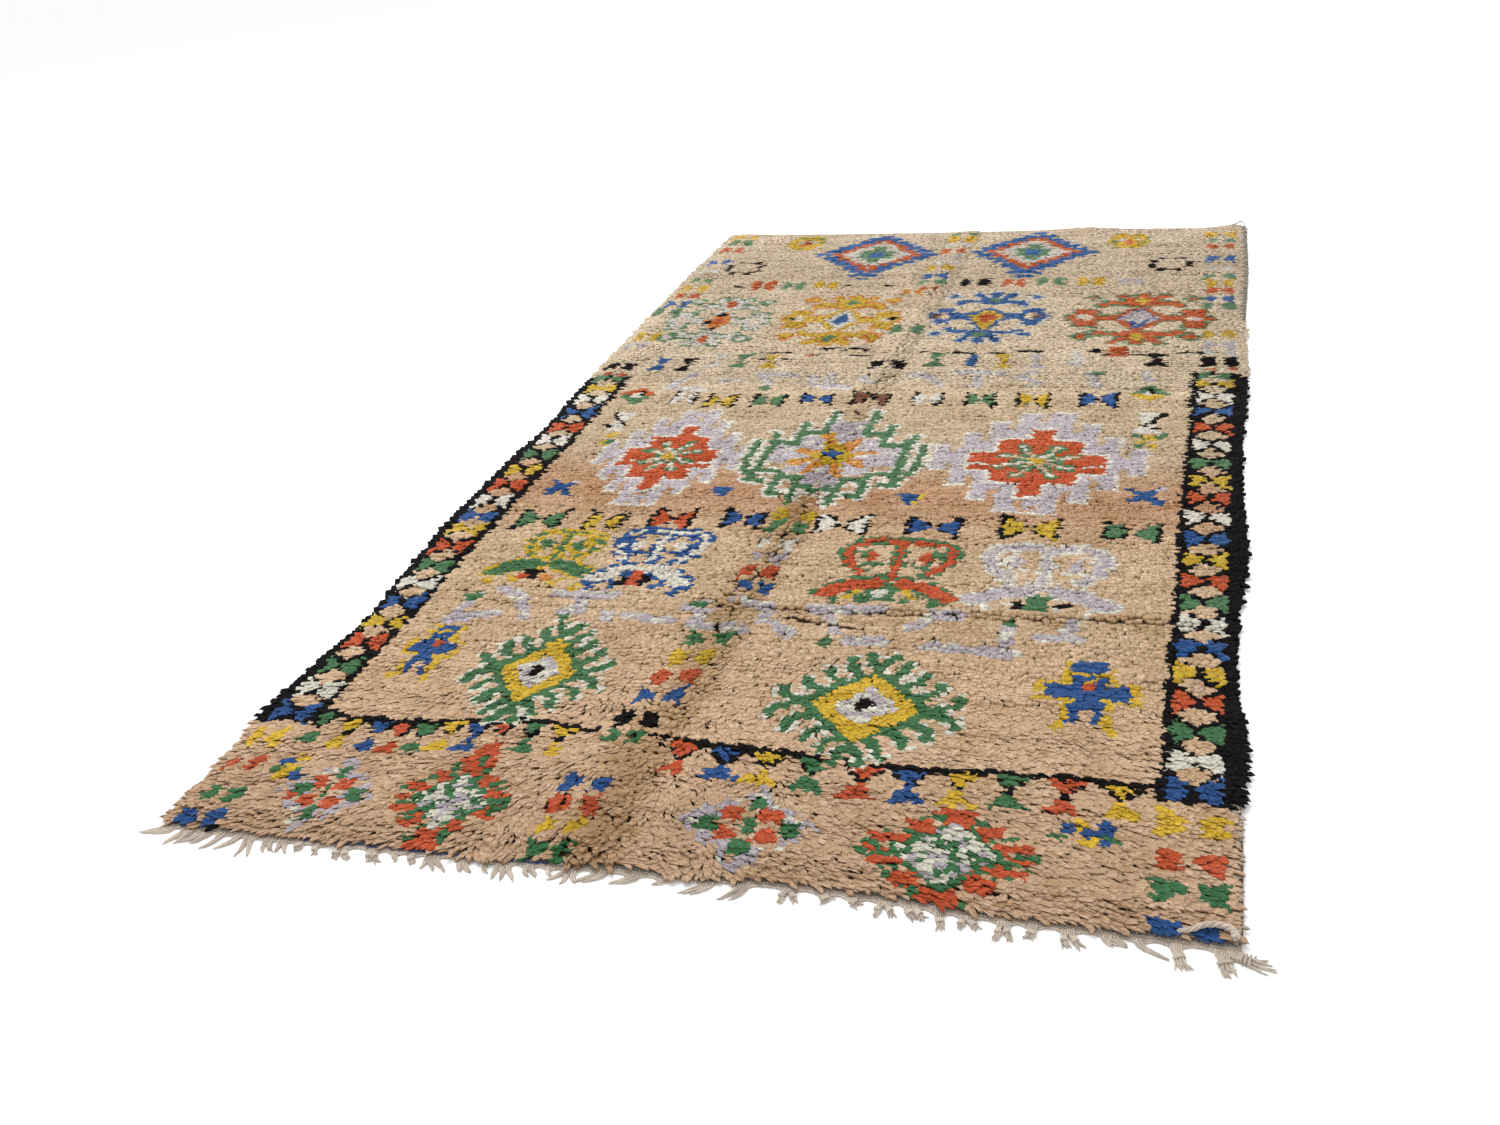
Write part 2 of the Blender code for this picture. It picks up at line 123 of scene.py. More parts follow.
# %% [markdown]
# ## Camera, floor and light
# The photograph looks along the rug from just past its near right corner, with the camera a little rolled.
# The lens is a long normal one. The floor is plain and pale, and the light is a broad soft sky with one
# large lamp behind the left shoulder, which gives each lock a lit and a shaded side.

# %% Place the camera
EYE = in_frame(1.48309, -1.45706, 1.32307)
AZIMUTH, ELEVATION, ROLL = 19.17, 27.94, -6.37
LENS, SENSOR = 35.963, 36.0

camera = bpy.data.objects.new("camera", bpy.data.cameras.new("camera"))
camera.data.lens = LENS
camera.data.sensor_width = SENSOR
turn = (
    Matrix.Rotation(math.radians(AZIMUTH), 4, "Z")
    @ Matrix.Rotation(math.radians(90 - ELEVATION), 4, "X")
    @ Matrix.Rotation(math.radians(ROLL), 4, "Z")
)
camera.matrix_world = Matrix.Translation(EYE) @ turn
bpy.context.scene.collection.objects.link(camera)
bpy.context.scene.camera = camera
print("Camera looks along", [round(v, 4) for v in turn.to_3x3() @ Vector((0, 0, -1))])

# %% Lay the floor and hang the lights
FLOOR_SIDE = 40.0
FLOOR_COLOUR = (0.97, 0.97, 0.97, 1.0)
SKY_COLOUR = (1.0, 1.0, 1.0, 1.0)
SKY_STRENGTH = 1.0
LAMP_PLACE = Vector((-1.6, 1.0, 4.4))
LAMP_SIDE = 3.0
LAMP_POWER = 170


def new_material(name):
    """A material with its node tree and its shader."""
    material = bpy.data.materials.new(name)
    material.use_nodes = True
    return material, material.node_tree, material.node_tree.nodes["Principled BSDF"]


def plain_material(name, colour, roughness):
    """A material with one colour, for what isn't the rug."""
    material, _, shader = new_material(name)
    shader.inputs["Base Color"].default_value = colour
    shader.inputs["Roughness"].default_value = roughness
    return material


bpy.ops.mesh.primitive_plane_add(size=FLOOR_SIDE)
floor = bpy.context.object
floor.name = "floor"
floor.data.materials.append(plain_material("pale_floor", FLOOR_COLOUR, 0.9))
floor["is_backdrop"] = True

world = bpy.data.worlds.new("soft_sky")
world.use_nodes = True
world.node_tree.nodes["Background"].inputs["Color"].default_value = SKY_COLOUR
world.node_tree.nodes["Background"].inputs["Strength"].default_value = SKY_STRENGTH
bpy.context.scene.world = world
bpy.context.scene.view_settings.view_transform = "Standard"

lamp = bpy.data.objects.new("soft_lamp", bpy.data.lights.new("soft_lamp", "AREA"))
lamp.data.shape = "SQUARE"
lamp.data.size = LAMP_SIDE
lamp.data.energy = LAMP_POWER
lamp.location = LAMP_PLACE
lamp.rotation_euler = (-LAMP_PLACE).to_track_quat("-Z", "Y").to_euler()
bpy.context.scene.collection.objects.link(lamp)
print("Lamp hangs", round(LAMP_PLACE.length, 2), "m from the middle of the rug")

# %% [markdown]
# ## The knots
# A weaver ties knots in rows across the rug. Each row sits half a knot aside from the one before, as the
# wool pushes its neighbours apart, and rows wander a few millimetres. The columns stretch between the two
# long edges, which wander too. Near the viewer both ends of a knot show as locks of their own, so a row has
# twice as many there. All later steps work on these arrays at once, one number for each lock.

# %% Tie the knots
COLUMN_PITCH = 0.0086
ROW_PITCH = 0.0098
FINE_UP_TO = 0.55
ROW_WANDER = 0.0035
KNOT_WANDER = 0.0008
SIDE_SINK, NEAR_SINK = 0.009, 0.004


def wander(x, y, pitch, layer):
    """A smooth chance from -1 to 1 at each place, its bumps about a pitch apart."""
    return np.array([noise.noise(Vector((a, b, layer))) for a, b in zip(x / pitch, y / pitch)])


COLUMNS = round(WIDTH / COLUMN_PITCH)
ROWS = round(LENGTH / ROW_PITCH)
row_middles = (np.arange(ROWS) + 0.5) / ROWS * LENGTH
columns_of_row = np.where(row_middles < FINE_UP_TO, 2 * COLUMNS, COLUMNS)
column = np.concatenate([np.arange(count) for count in columns_of_row])
row = np.repeat(np.arange(ROWS), columns_of_row)
across = (column + 0.25 + 0.5 * (row % 2)) / columns_of_row[row]
along = (row + 0.5) / ROWS
fine = along * LENGTH < FINE_UP_TO
left_edge = read_table(SIDE_EDGES, along * LENGTH, "left") + SIDE_SINK
right_edge = read_table(SIDE_EDGES, along * LENGTH, "right") - SIDE_SINK
knot_x = left_edge + (right_edge - left_edge) * across
near_edge = read_table(SHORT_EDGES, knot_x, "near") + NEAR_SINK
far_edge = read_table(SHORT_EDGES, knot_x, "far")
knot_y = near_edge + (far_edge - near_edge) * along
knot_y = knot_y + ROW_WANDER * wander(knot_x, knot_y, 0.13, 1.5) * soft_step(along, 0.0, 0.02)
knot_x = knot_x + chance.uniform(-1, 1, len(knot_x)) * KNOT_WANDER
knot_y = knot_y + chance.uniform(-1, 1, len(knot_x)) * KNOT_WANDER
print(len(knot_x), "ends of knots in", ROWS, "rows of", COLUMNS, "knots")

# %% [markdown]
# ## How the wool lies
# The pile leans towards the near end, like thatch. Near that end it is combed in patches, and along the two
# sides it leans outwards. On the old fold that runs the length of the rug it stands up and points every
# way, and past the middle of the rug it is trodden flat and calm. A short buckle crosses the right half,
# with a crease on each of its sides. A length, a lean and a heading for each lock hold all of that.

# %% The old folds
RIDGE_NEAR_X, RIDGE_FAR_X, RIDGE_HALF = 0.675, 0.755, 0.045
WIDER_NEAR = 0.022
BUCKLE_LEFT_X, BUCKLE_RIGHT_X = 0.76, 1.43
BUCKLE_LEFT_Y, BUCKLE_RIGHT_Y = 0.712, 0.742
BUCKLE_FADE = 0.05
CREASES = (-0.020, 0.012)
CREASE_HALF = 0.005


def ridge_at(x, y, half=RIDGE_HALF):
    """1 on the line of the lengthwise fold, fading to 0 at its sides."""
    middle = RIDGE_NEAR_X + (RIDGE_FAR_X - RIDGE_NEAR_X) * y / LENGTH
    return 1 - soft_step(np.abs(x - middle), 0.2 * half, 1.2 * half)


def past_buckle(x, y):
    """How far past the line of the crosswise buckle a place lies."""
    share = np.clip((x - BUCKLE_LEFT_X) / (BUCKLE_RIGHT_X - BUCKLE_LEFT_X), 0, 1)
    return y - BUCKLE_LEFT_Y - (BUCKLE_RIGHT_Y - BUCKLE_LEFT_Y) * share


def buckle_at(x):
    """1 along the crosswise buckle and 0 past its ends."""
    begun = soft_step(x, BUCKLE_LEFT_X - BUCKLE_FADE, BUCKLE_LEFT_X)
    return begun * soft_step(x, BUCKLE_RIGHT_X + BUCKLE_FADE, BUCKLE_RIGHT_X)


ridge = ridge_at(knot_x, knot_y)
beside_buckle = past_buckle(knot_x, knot_y)
from_crease = np.min([np.abs(beside_buckle - place) for place in CREASES], axis=0)
creased = (1 - soft_step(from_crease, CREASE_HALF, 2 * CREASE_HALF)) * buckle_at(knot_x)
print("Locks on the lengthwise fold:", int((ridge > 0.5).sum()))
print("Locks in the creases:", int((creased > 0.5).sum()))

# %% Lean, length and lift of each lock
# The shade column sets how deep the painted shade of the crevices is in each zone.
Lay = namedtuple("Lay", "along length lean unruly half_width clumps shade")
LAYS = (
    Lay(0.00, 0.0235, 0.84, 0.24, 0.0082, 1.00, 1.0), Lay(0.30, 0.0230, 0.85, 0.22, 0.0082, 0.85, 1.0),
    Lay(0.55, 0.0200, 0.86, 0.14, 0.0086, 0.46, 1.2), Lay(1.20, 0.0180, 0.88, 0.11, 0.0090, 0.34, 1.2),
    Lay(1.80, 0.0175, 0.90, 0.10, 0.0092, 0.22, 0.8), Lay(2.40, 0.0170, 0.92, 0.08, 0.0095, 0.14, 0.5),
    Lay(3.00, 0.0170, 0.93, 0.07, 0.0096, 0.12, 0.4),
)
SIDE_REACH = 0.14
SHOWN_AT = 0.65
length = read_table(LAYS, knot_y, "length") * chance.normal(1.0, 0.18, len(knot_x)).clip(0.6, 1.4)
fold_half = RIDGE_HALF + WIDER_NEAR * soft_step(knot_y, 1.5, 0.8)
fluffed = ridge_at(knot_x, knot_y, fold_half) * soft_step(knot_y, 2.4, 1.0)
near_end = soft_step(knot_y, FINE_UP_TO, 0.30)
combed_right, combed_left = soft_step(knot_x, 0.80, 1.05), soft_step(knot_x, 0.62, 0.45)
nubbed = near_end * (1 - combed_right - combed_left)
clumps = read_table(LAYS, knot_y, "clumps")
patches = wander(knot_x, knot_y, 0.11, 5.7)

sideways = 0.9 * soft_step(knot_x, WIDTH - SIDE_REACH, WIDTH) - 1.0 * soft_step(knot_x, SIDE_REACH, 0.0)
sideways = sideways * soft_step(knot_y, 0.0, 0.05)
sideways = sideways + near_end * (2.6 * combed_right - 1.7 * combed_left + 1.1 * patches)
sideways = sideways + 3.0 * nubbed * patches + fluffed * (0.8 + 1.6 * patches)
sideways = sideways + 0.35 * wander(knot_x, knot_y, 0.21, 4.2)
sideways = sideways + clumps * wander(knot_x, knot_y, 0.030, 6.6)
unruly = read_table(LAYS, knot_y, "unruly") + 0.60 * fluffed + 0.1 * ridge + 0.10 * nubbed
heading = np.arctan2(-1.0, sideways) + unruly * chance.normal(0, 1, len(knot_x))
lean = read_table(LAYS, knot_y, "lean") - 0.12 * fluffed
lean = np.clip(lean + 0.10 * wander(knot_x, knot_y, 0.05, 9.4), 0.15, 1.0)
towards_x, towards_y = np.cos(heading), np.sin(heading)
shown_x = knot_x + SHOWN_AT * length * lean * towards_x
shown_y = knot_y + SHOWN_AT * length * lean * towards_y
print("Locks are", round(1000 * length.min(), 1), "to", round(1000 * length.max(), 1), "mm long")

# %% The height of the pile
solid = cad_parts["rug_body"]
mesh = solid.data
pile = BVHTree.FromPolygons(
    [solid.matrix_world @ v.co for v in mesh.vertices], [tuple(p.vertices) for p in mesh.polygons]
)
# Beside the buckle the solid's relief is softened, as the real one is a low roll of loose wool.
LOWEST_PILE = 0.009
SOFT_WITHIN, SOFT_REACH, SOFT_SHARE = 0.07, 0.022, 0.36


def pile_height(x, y):
    """How high the solid's pile stands at many plan places, or the lowest pile past its edge."""
    heights = np.full(len(x), LOWEST_PILE)
    for number, place in enumerate(zip(x, y)):
        hit = pile.ray_cast(in_frame(*place, 1.0), Vector((0, 0, -1)))[0]
        if hit is not None:
            heights[number] = max(hit.z, LOWEST_PILE)
    return heights


top = pile_height(shown_x, shown_y)
beside = np.flatnonzero((np.abs(beside_buckle) < SOFT_WITHIN) & (buckle_at(knot_x) > 0))
for shift in (-SOFT_REACH, SOFT_REACH):
    top[beside] += 0.5 * (pile_height(shown_x[beside], shown_y[beside] + shift) - top[beside]) * SOFT_SHARE
print("Pile stands", round(1000 * top.mean(), 1), "mm high, and at most", round(1000 * top.max(), 1))

# %% [markdown]
# ## The dyes
# The weaver had about a dozen wools. Each knot holds the number of one of them, and painting a motif sets
# that number for the knots whose locks show inside a shape. The motifs are the traditional ones of such
# rugs: bow-ties, stepped diamonds, hooks, crosses and palms, drawn a little unevenly, as by eye. Their
# places were read from the photograph as if the pile were thin, so X and Y shift each lock's place to fit.

# %% Name the dyes and the shapes
DYES = ("ground", "red", "blue", "yellow", "green", "white", "lilac", "black", "orange", "brown", "grey")
DRAWN_UNEVENLY = 0.0022
chart = np.zeros(len(knot_x), int)
X = shown_x - 0.0195 + 0.0086 * shown_x ** 2
X = X + DRAWN_UNEVENLY * wander(knot_x, knot_y, 0.020, 2.2)
Y = shown_y + 0.020 + shown_y * (0.0037 + 0.0099 * shown_x)
Y = Y + DRAWN_UNEVENLY * wander(knot_x, knot_y, 0.020, 7.7)


def metres(rows, kind=None):
    """Rows told in whole millimetres, as rows in metres. Words stay as they are."""
    told = ([word / 1000 if isinstance(word, int) else word for word in row] for row in rows)
    return tuple(kind(*row) if kind else tuple(row) for row in told)


def mottle(where, dye, share):
    """Dye a share of a shape's knots, in small clumps."""
    clumps = 0.5 + 0.5 * wander(X[where], Y[where], 0.013, 5.5 + DYES.index(dye))
    chosen = np.flatnonzero(where)[clumps > np.quantile(clumps, 1 - share)]
    chart[chosen] = DYES.index(dye)


def paint(where, dye, *mixed_in):
    """Dye the knots of a shape, and mottle it with shares of other wools."""
    chart[where] = DYES.index(dye)
    for other, share in mixed_in:
        mottle(where, other, share)


def block(x, y, width, height):
    """An upright rectangle about a centre."""
    return (np.abs(X - x) < width / 2) & (np.abs(Y - y) < height / 2)


def paint_blocks(rows, size=()):
    """Blocks told in millimetres: a place, a size of their own unless they share one, and a dye."""
    for x, y, *own_size, dye in metres(rows):
        paint(block(x, y, *(own_size or size)), dye)


def blocks(x, y, out_x, out_y, width, height, flips):
    """Equal blocks around a centre, one for each mirror image of the first."""
    return np.any([block(x + a * out_x, y + b * out_y, width, height) for a, b in flips], axis=0)


def diamond(x, y, width, height):
    """A diamond about a centre. The knots give it its steps."""
    return np.abs(X - x) / width + np.abs(Y - y) / height < 0.5


def frame_of(x, y, width, height, thick):
    """A diamond's border, its thickness measured inwards across."""
    return diamond(x, y, width, height) & ~diamond(x, y, width - 2 * thick, height - 2 * thick)


def bow_tie(x, y, width, height, waist=0.2, gap=0.0):
    """Two wedges that point at each other, left and right, with a gap as a share of the width."""
    out = np.abs(X - x) / (width / 2)
    return (out > gap) & (out < 1) & (np.abs(Y - y) < height / 2 * (waist + (1 - waist) * out))


def hourglass(x, y, width, height, waist=0.2):
    """Two wedges that point at each other, one above the other."""
    out = np.abs(Y - y) / (height / 2)
    return (out < 1) & (np.abs(X - x) < width / 2 * (waist + (1 - waist) * out))


def wedge(x, y, width, height, up):
    """A triangle, its point up (1) or down (-1)."""
    rise = (Y - y) * up / height + 0.5
    return (rise > 0) & (rise < 1) & (np.abs(X - x) < width / 2 * (1.05 - rise))


def stroke(x, y, points, thick, flips=((1, 1),)):
    """A line through points told from a centre, and its mirror images."""
    drawn = np.zeros(len(X), bool)
    for flip_x, flip_y in flips:
        places = [(x + flip_x * a, y + flip_y * b) for a, b in points]
        for (ax, ay), (bx, by) in zip(places, places[1:]):
            dx, dy = bx - ax, by - ay
            share = np.clip(((X - ax) * dx + (Y - ay) * dy) / (dx * dx + dy * dy), 0, 1)
            drawn |= np.hypot(X - ax - share * dx, Y - ay - share * dy) < thick / 2
    return drawn


SIDES = ((1, 1), (-1, 1))
QUARTERS = ((1, 1), (-1, 1), (1, -1), (-1, -1))
CROSSWISE = ((0, 1), (0, -1), (1, 0), (-1, 0))
print("Dyes:", ", ".join(DYES))

# %% [markdown]
# ## The borders and the columns
# Two black borders run up the sides, each with a column of bow-ties and a bare diamond between every two.
# Past the black, and between the two halves of the field, the columns go on without it.

# %% Dye the black borders
BORDER_BOW = (0.073, 0.066, 0.20, 0.14)
BARE_WIDTH, BARE_HEIGHT = 0.060, 0.052
LEFT_BORDER_X, RIGHT_BORDER_X = 0.037, 1.483
BORDER_HALF, BORDER_BOTTOM, BORDER_PAST_BOWS = 0.050, 0.285, 0.012
LEFT_FOLLOWS = 0.45
BORDER_DYES = 2 * ("blue", "white", "green", "red", "yellow") + (
    "blue", "white", "red", "yellow", "green", "white", "red", "blue", "white", "yellow", "green",
)
LEFT_BORDER = (
    0.31, 0.385, 0.457, 0.54, 0.608, 0.68, 0.748, 0.82, 0.90, 0.975, 1.035, 1.105, 1.18, 1.255, 1.34, 1.42,
    1.495, 1.58, 1.66, 1.73, 1.80,
)
RIGHT_BORDER = (
    0.315, 0.385, 0.46, 0.545, 0.625, 0.70, 0.775, 0.848, 0.925, 1.00, 1.08, 1.165, 1.25, 1.33, 1.41, 1.50,
    1.59, 1.68, 1.76, 1.84, 1.89,
)


def dye_border(middle, inwards, places):
    """One border: its black strip, its bow-ties and the bare diamonds between them."""
    top_end = places[-1] + BORDER_PAST_BOWS
    paint(((X - middle) * inwards < BORDER_HALF) & (Y > BORDER_BOTTOM) & (Y < top_end), "black")
    for y, next_y, dye in zip(places, (*places[1:], None), BORDER_DYES):
        x = middle + LEFT_FOLLOWS * float(read_table(SIDE_EDGES, y, "left")) * (inwards > 0)
        paint(bow_tie(x, y, *BORDER_BOW) & (Y < top_end), dye)
        if next_y:
            paint(diamond(x, (y + next_y) / 2, BARE_WIDTH, BARE_HEIGHT), "ground")


dye_border(LEFT_BORDER_X, 1, LEFT_BORDER)
dye_border(RIGHT_BORDER_X, -1, RIGHT_BORDER)
print("Black knots:", int((chart == DYES.index("black")).sum()))

# %% Dye the bow-ties of the columns
Bow = namedtuple("Bow", "x y width height dye")
COLUMN_BOWS = metres((
    (1484, 236, 92, 66, "yellow"), (1483, 158, 90, 54, "red"), (1484, 100, 94, 56, "green"),
    (1482, 30, 86, 44, "blue"), (28, 237, 62, 64, "yellow"), (28, 165, 60, 46, "red"),
    (44, 84, 62, 52, "green"), (38, 30, 70, 52, "blue"), (605, 202, 74, 54, "blue"),
    (607, 147, 78, 50, "red"), (606, 97, 64, 48, "yellow"), (606, 46, 66, 46, "green"),
    (620, 322, 70, 50, "green"), (626, 372, 74, 56, "black"), (637, 440, 80, 60, "blue"),
    (645, 498, 76, 54, "red"), (655, 560, 76, 56, "yellow"), (663, 622, 74, 52, "green"),
    (692, 806, 62, 42, "blue"), (686, 864, 66, 46, "red"), (686, 915, 62, 46, "lilac"),
    (688, 978, 72, 50, "white"), (693, 1042, 76, 52, "green"), (694, 1096, 80, 54, "yellow"),
    (715, 2158, 76, 70, "green"), (676, 2462, 62, 56, "orange"), (722, 2482, 40, 36, "red"),
    (716, 2545, 70, 40, "green"), (715, 2592, 70, 40, "blue"), (715, 2660, 70, 54, "yellow"),
    (728, 2712, 62, 44, "white"), (728, 2770, 62, 44, "lilac"), (728, 2826, 70, 60, "red"),
    (732, 2884, 62, 40, "white"), (734, 2942, 78, 58, "yellow"), (736, 2992, 78, 40, "green"),
    (26, 2090, 66, 70, "yellow"), (20, 2022, 60, 40, "lilac"), (16, 2290, 78, 66, "green"),
    (22, 2352, 70, 60, "blue"), (28, 2424, 64, 40, "red"), (32, 2486, 78, 66, "yellow"),
    (30, 2560, 62, 40, "green"), (30, 2640, 60, 48, "white"), (30, 2732, 66, 50, "blue"),
    (36, 2852, 70, 54, "red"), (44, 2924, 70, 58, "green"), (44, 2980, 80, 50, "yellow"),
    (1486, 2163, 76, 56, "yellow"), (1488, 2082, 70, 56, "lilac"), (1490, 2030, 70, 46, "white"),
    (1482, 2364, 78, 62, "green"), (1484, 2422, 70, 54, "blue"), (1488, 2486, 64, 46, "red"),
    (1484, 2540, 70, 60, "yellow"), (1482, 2600, 76, 50, "green"), (1484, 2664, 60, 46, "white"),
    (1484, 2756, 74, 60, "blue"), (1484, 2866, 70, 50, "red"), (1484, 2932, 68, 40, "green"),
    (1480, 2984, 84, 46, "yellow"),
), Bow)
FIELD_BOWS = metres((
    (230, 2515, 66, 76, "red"), (320, 2512, 60, 66, "green"), (416, 2516, 64, 60, "yellow"),
    (835, 2552, 82, 62, "black"), (941, 2546, 60, 64, "red"), (1040, 2558, 68, 70, "green"),
    (1148, 2556, 68, 64, "yellow"), (1258, 2556, 66, 58, "lilac"), (32, 1876, 74, 54, "black"),
    (714, 1914, 76, 54, "black"), (1492, 1972, 78, 62, "black"),
), Bow)
WAIST, GAP = 0.34, 0.22
STRETCHED_FROM, STRETCH = 0.7, 1.2
for bow in COLUMN_BOWS + FIELD_BOWS:
    height = bow.height * (STRETCH if bow.y > STRETCHED_FROM else 1.0)
    paint(bow_tie(bow.x, bow.y, bow.width, height, WAIST, GAP), bow.dye)
for x, y in ((0.012, 0.012), (0.062, 0.008)):
    paint(block(x, y, 0.030, 0.018), "black")
for x, y in ((0.010, 1.826), (0.054, 1.822), (1.472, 1.926), (1.518, 1.930)):
    paint(block(x, y, 0.018, 0.018), "red")
print("Bow-ties of one wool:", len(COLUMN_BOWS + FIELD_BOWS))

# %% Dye the black-edged bow-ties
EDGE, EDGED_STRETCH = 0.014, 1.25
OUTER_WAIST, OUTER_GAP = 0.22, 0.10
INNER_WAIST, INNER_GAP = 0.10, 0.20
EDGED_BOWS = metres((
    (172, 1034, 98, 78, "green"), (311, 1038, 80, 80, "yellow"), (449, 1060, 90, 86, "red"),
    (595, 1074, 90, 76, "blue"), (798, 1070, 110, 80, "white"), (977, 1078, 104, 70, "blue"),
    (1160, 1092, 116, 88, "yellow"), (1350, 1092, 108, 78, "green"), (268, 1680, 62, 84, "white"),
    (363, 1668, 76, 78, "yellow"), (478, 1678, 78, 72, "green"), (592, 1696, 82, 56, "blue"),
    (722, 1698, 86, 72, "brown"), (852, 1712, 72, 80, "white"), (974, 1716, 70, 78, "green"),
    (1092, 1718, 78, 80, "yellow"), (1238, 1728, 84, 84, "blue"),
), Bow)
for bow in EDGED_BOWS:
    height = EDGED_STRETCH * bow.height
    paint(bow_tie(bow.x, bow.y, bow.width, height, OUTER_WAIST, OUTER_GAP), "black")
    inner_size = bow.width - 1.2 * EDGE, height - 1.5 * EDGE
    paint(bow_tie(bow.x, bow.y, *inner_size, INNER_WAIST, INNER_GAP), bow.dye)
print("Black-edged bow-ties:", len(EDGED_BOWS))

# %% [markdown]
# ## The near end
# A black line zigzags across the field, with a row of wedges hanging from it and a second row standing
# below. Under them lie two small check diamonds and two large ones inside a frame of red flags.

# %% Dye the black line and its wedges
LinePoint = namedtuple("LinePoint", "x y")
BLACK_LINE = (
    LinePoint(0.08, 0.316), LinePoint(0.15, 0.306), LinePoint(0.25, 0.309), LinePoint(0.35, 0.325),
    LinePoint(0.42, 0.336), LinePoint(0.48, 0.343), LinePoint(0.56, 0.330), LinePoint(0.72, 0.325),
    LinePoint(0.80, 0.321), LinePoint(0.90, 0.315), LinePoint(1.00, 0.306), LinePoint(1.10, 0.307),
    LinePoint(1.20, 0.316), LinePoint(1.42, 0.317),
)
LINE_THICK = 0.0105
LINE_LEFT, LINE_RIGHT, LINE_GAP_X, LINE_GAP_HALF = 0.075, 1.435, 0.62, 0.045
WEDGE_DROP, WEDGE_HEIGHT, STANDING_GAP = 0.020, 0.040, 0.064
LEFT_WEDGE, RIGHT_WEDGE = 0.040, 0.062
WEDGES = (
    (0.100, "green"), (0.155, "yellow"), (0.205, "blue"), (0.246, "red"), (0.286, "green"),
    (0.328, "yellow"), (0.372, "blue"), (0.418, "red"), (0.466, "green"), (0.516, "yellow"),
    (0.725, "red"), (0.795, "blue"), (0.862, "yellow"), (0.936, "green"), (1.012, "red"),
    (1.085, "blue"), (1.157, "yellow"), (1.231, "green"), (1.306, "red"), (1.387, "yellow"),
)

line_y = read_table(BLACK_LINE, X, "y")
on_line = (X > LINE_LEFT) & (X < LINE_RIGHT) & (np.abs(X - LINE_GAP_X) > LINE_GAP_HALF)
for x, dye in WEDGES:
    width = LEFT_WEDGE if x < 0.6 else RIGHT_WEDGE
    base = float(read_table(BLACK_LINE, x, "y"))
    paint(wedge(x, base - WEDGE_DROP, width + 0.018, WEDGE_HEIGHT + 0.012, -1), "black")
    paint(wedge(x, base - WEDGE_DROP + 0.002, width, WEDGE_HEIGHT, -1), dye)
    paint(wedge(x, base - STANDING_GAP, width, WEDGE_HEIGHT - 0.002, 1), dye)
paint(on_line & (np.abs(Y - line_y) < LINE_THICK / 2), "black")
print("Wedges:", 2 * len(WEDGES))

# %% Dye the diamonds of the near end
def check_diamond(x, y, reach_x, reach_y):
    """Four red spots with green ones around them, inside lilac patches."""
    patches = frame_of(x, y, 7.6 * reach_x, 8.4 * reach_y, 0.052)
    paint(patches, "lilac", ("ground", 0.40), ("white", 0.12))
    paint(block(x, y, 0.5 * reach_x, 1.9 * reach_y), "green")
    far_out = 2.05 * reach_x, 2.15 * reach_y
    paint(blocks(x, y, *far_out, 1.05 * reach_x, 1.20 * reach_y, CROSSWISE), "green")
    paint(blocks(x, y, reach_x, reach_y, 1.15 * reach_x, 1.30 * reach_y, QUARTERS), "red")


def framed_diamond(x, y, width, height):
    """A frame of red flags with green between them, around a white, lilac and green check."""
    paint(diamond(x, y, width + 0.030, height + 0.034), "green", ("ground", 0.45))
    paint(diamond(x, y, width, height), "red")
    for share in (0.10, 0.42, 0.74):
        flag_x, flag_y = 0.54 * share * width, 0.52 * (1 - share) * height
        paint(blocks(x, y, flag_x, flag_y, 0.030, 0.018, QUARTERS), "red")
    for share in (0.26, 0.58, 0.88):
        reach_x, reach_y = 0.5 * share * width, 0.5 * (1 - share) * height
        from_inside, to_outside = (0.74 * reach_x, 0.74 * reach_y), (1.16 * reach_x, 1.16 * reach_y)
        paint(stroke(x, y, (from_inside, to_outside), 0.013, QUARTERS), "green", ("ground", 0.35))
    paint(diamond(x, y, 0.72 * width, 0.74 * height), "green")
    paint(diamond(x, y, 0.64 * width, 0.66 * height), "white", ("green", 0.40), ("lilac", 0.24))


check_diamond(0.208, 0.114, 0.022, 0.023)
check_diamond(0.877, 0.140, 0.029, 0.023)
framed_diamond(0.412, 0.126, 0.180, 0.200)
framed_diamond(1.166, 0.122, 0.236, 0.200)
paint(wedge(0.416, 0.250, 0.060, 0.070, 1), "red")
paint(stroke(0.412, 0.215, ((0.000, 0.020), (0.020, -0.010)), 0.012), "green")
paint_blocks((
    (95, 160, "green"), (131, 156, "green"), (100, 178, "blue"), (129, 146, "blue"), (115, 160, "yellow"),
    (118, 194, "yellow"), (112, 143, "yellow"), (152, 100, "red"), (1305, 186, "green"),
    (1378, 190, "green"), (1325, 206, "blue"), (1366, 182, "blue"), (1340, 212, "yellow"),
    (1350, 182, "yellow"), (1352, 198, "blue"), (1372, 212, "blue"),
), (0.024, 0.022))
print("Red knots so far:", int((chart == DYES.index("red")).sum()))

# %% [markdown]
# ## The hooked diamonds
# Two large green diamonds with combs of hooks hold a yellow diamond and a lilac one, with a black heart.
# The combs are short strokes that leave the green edge on all four sides, each with a pale tip.

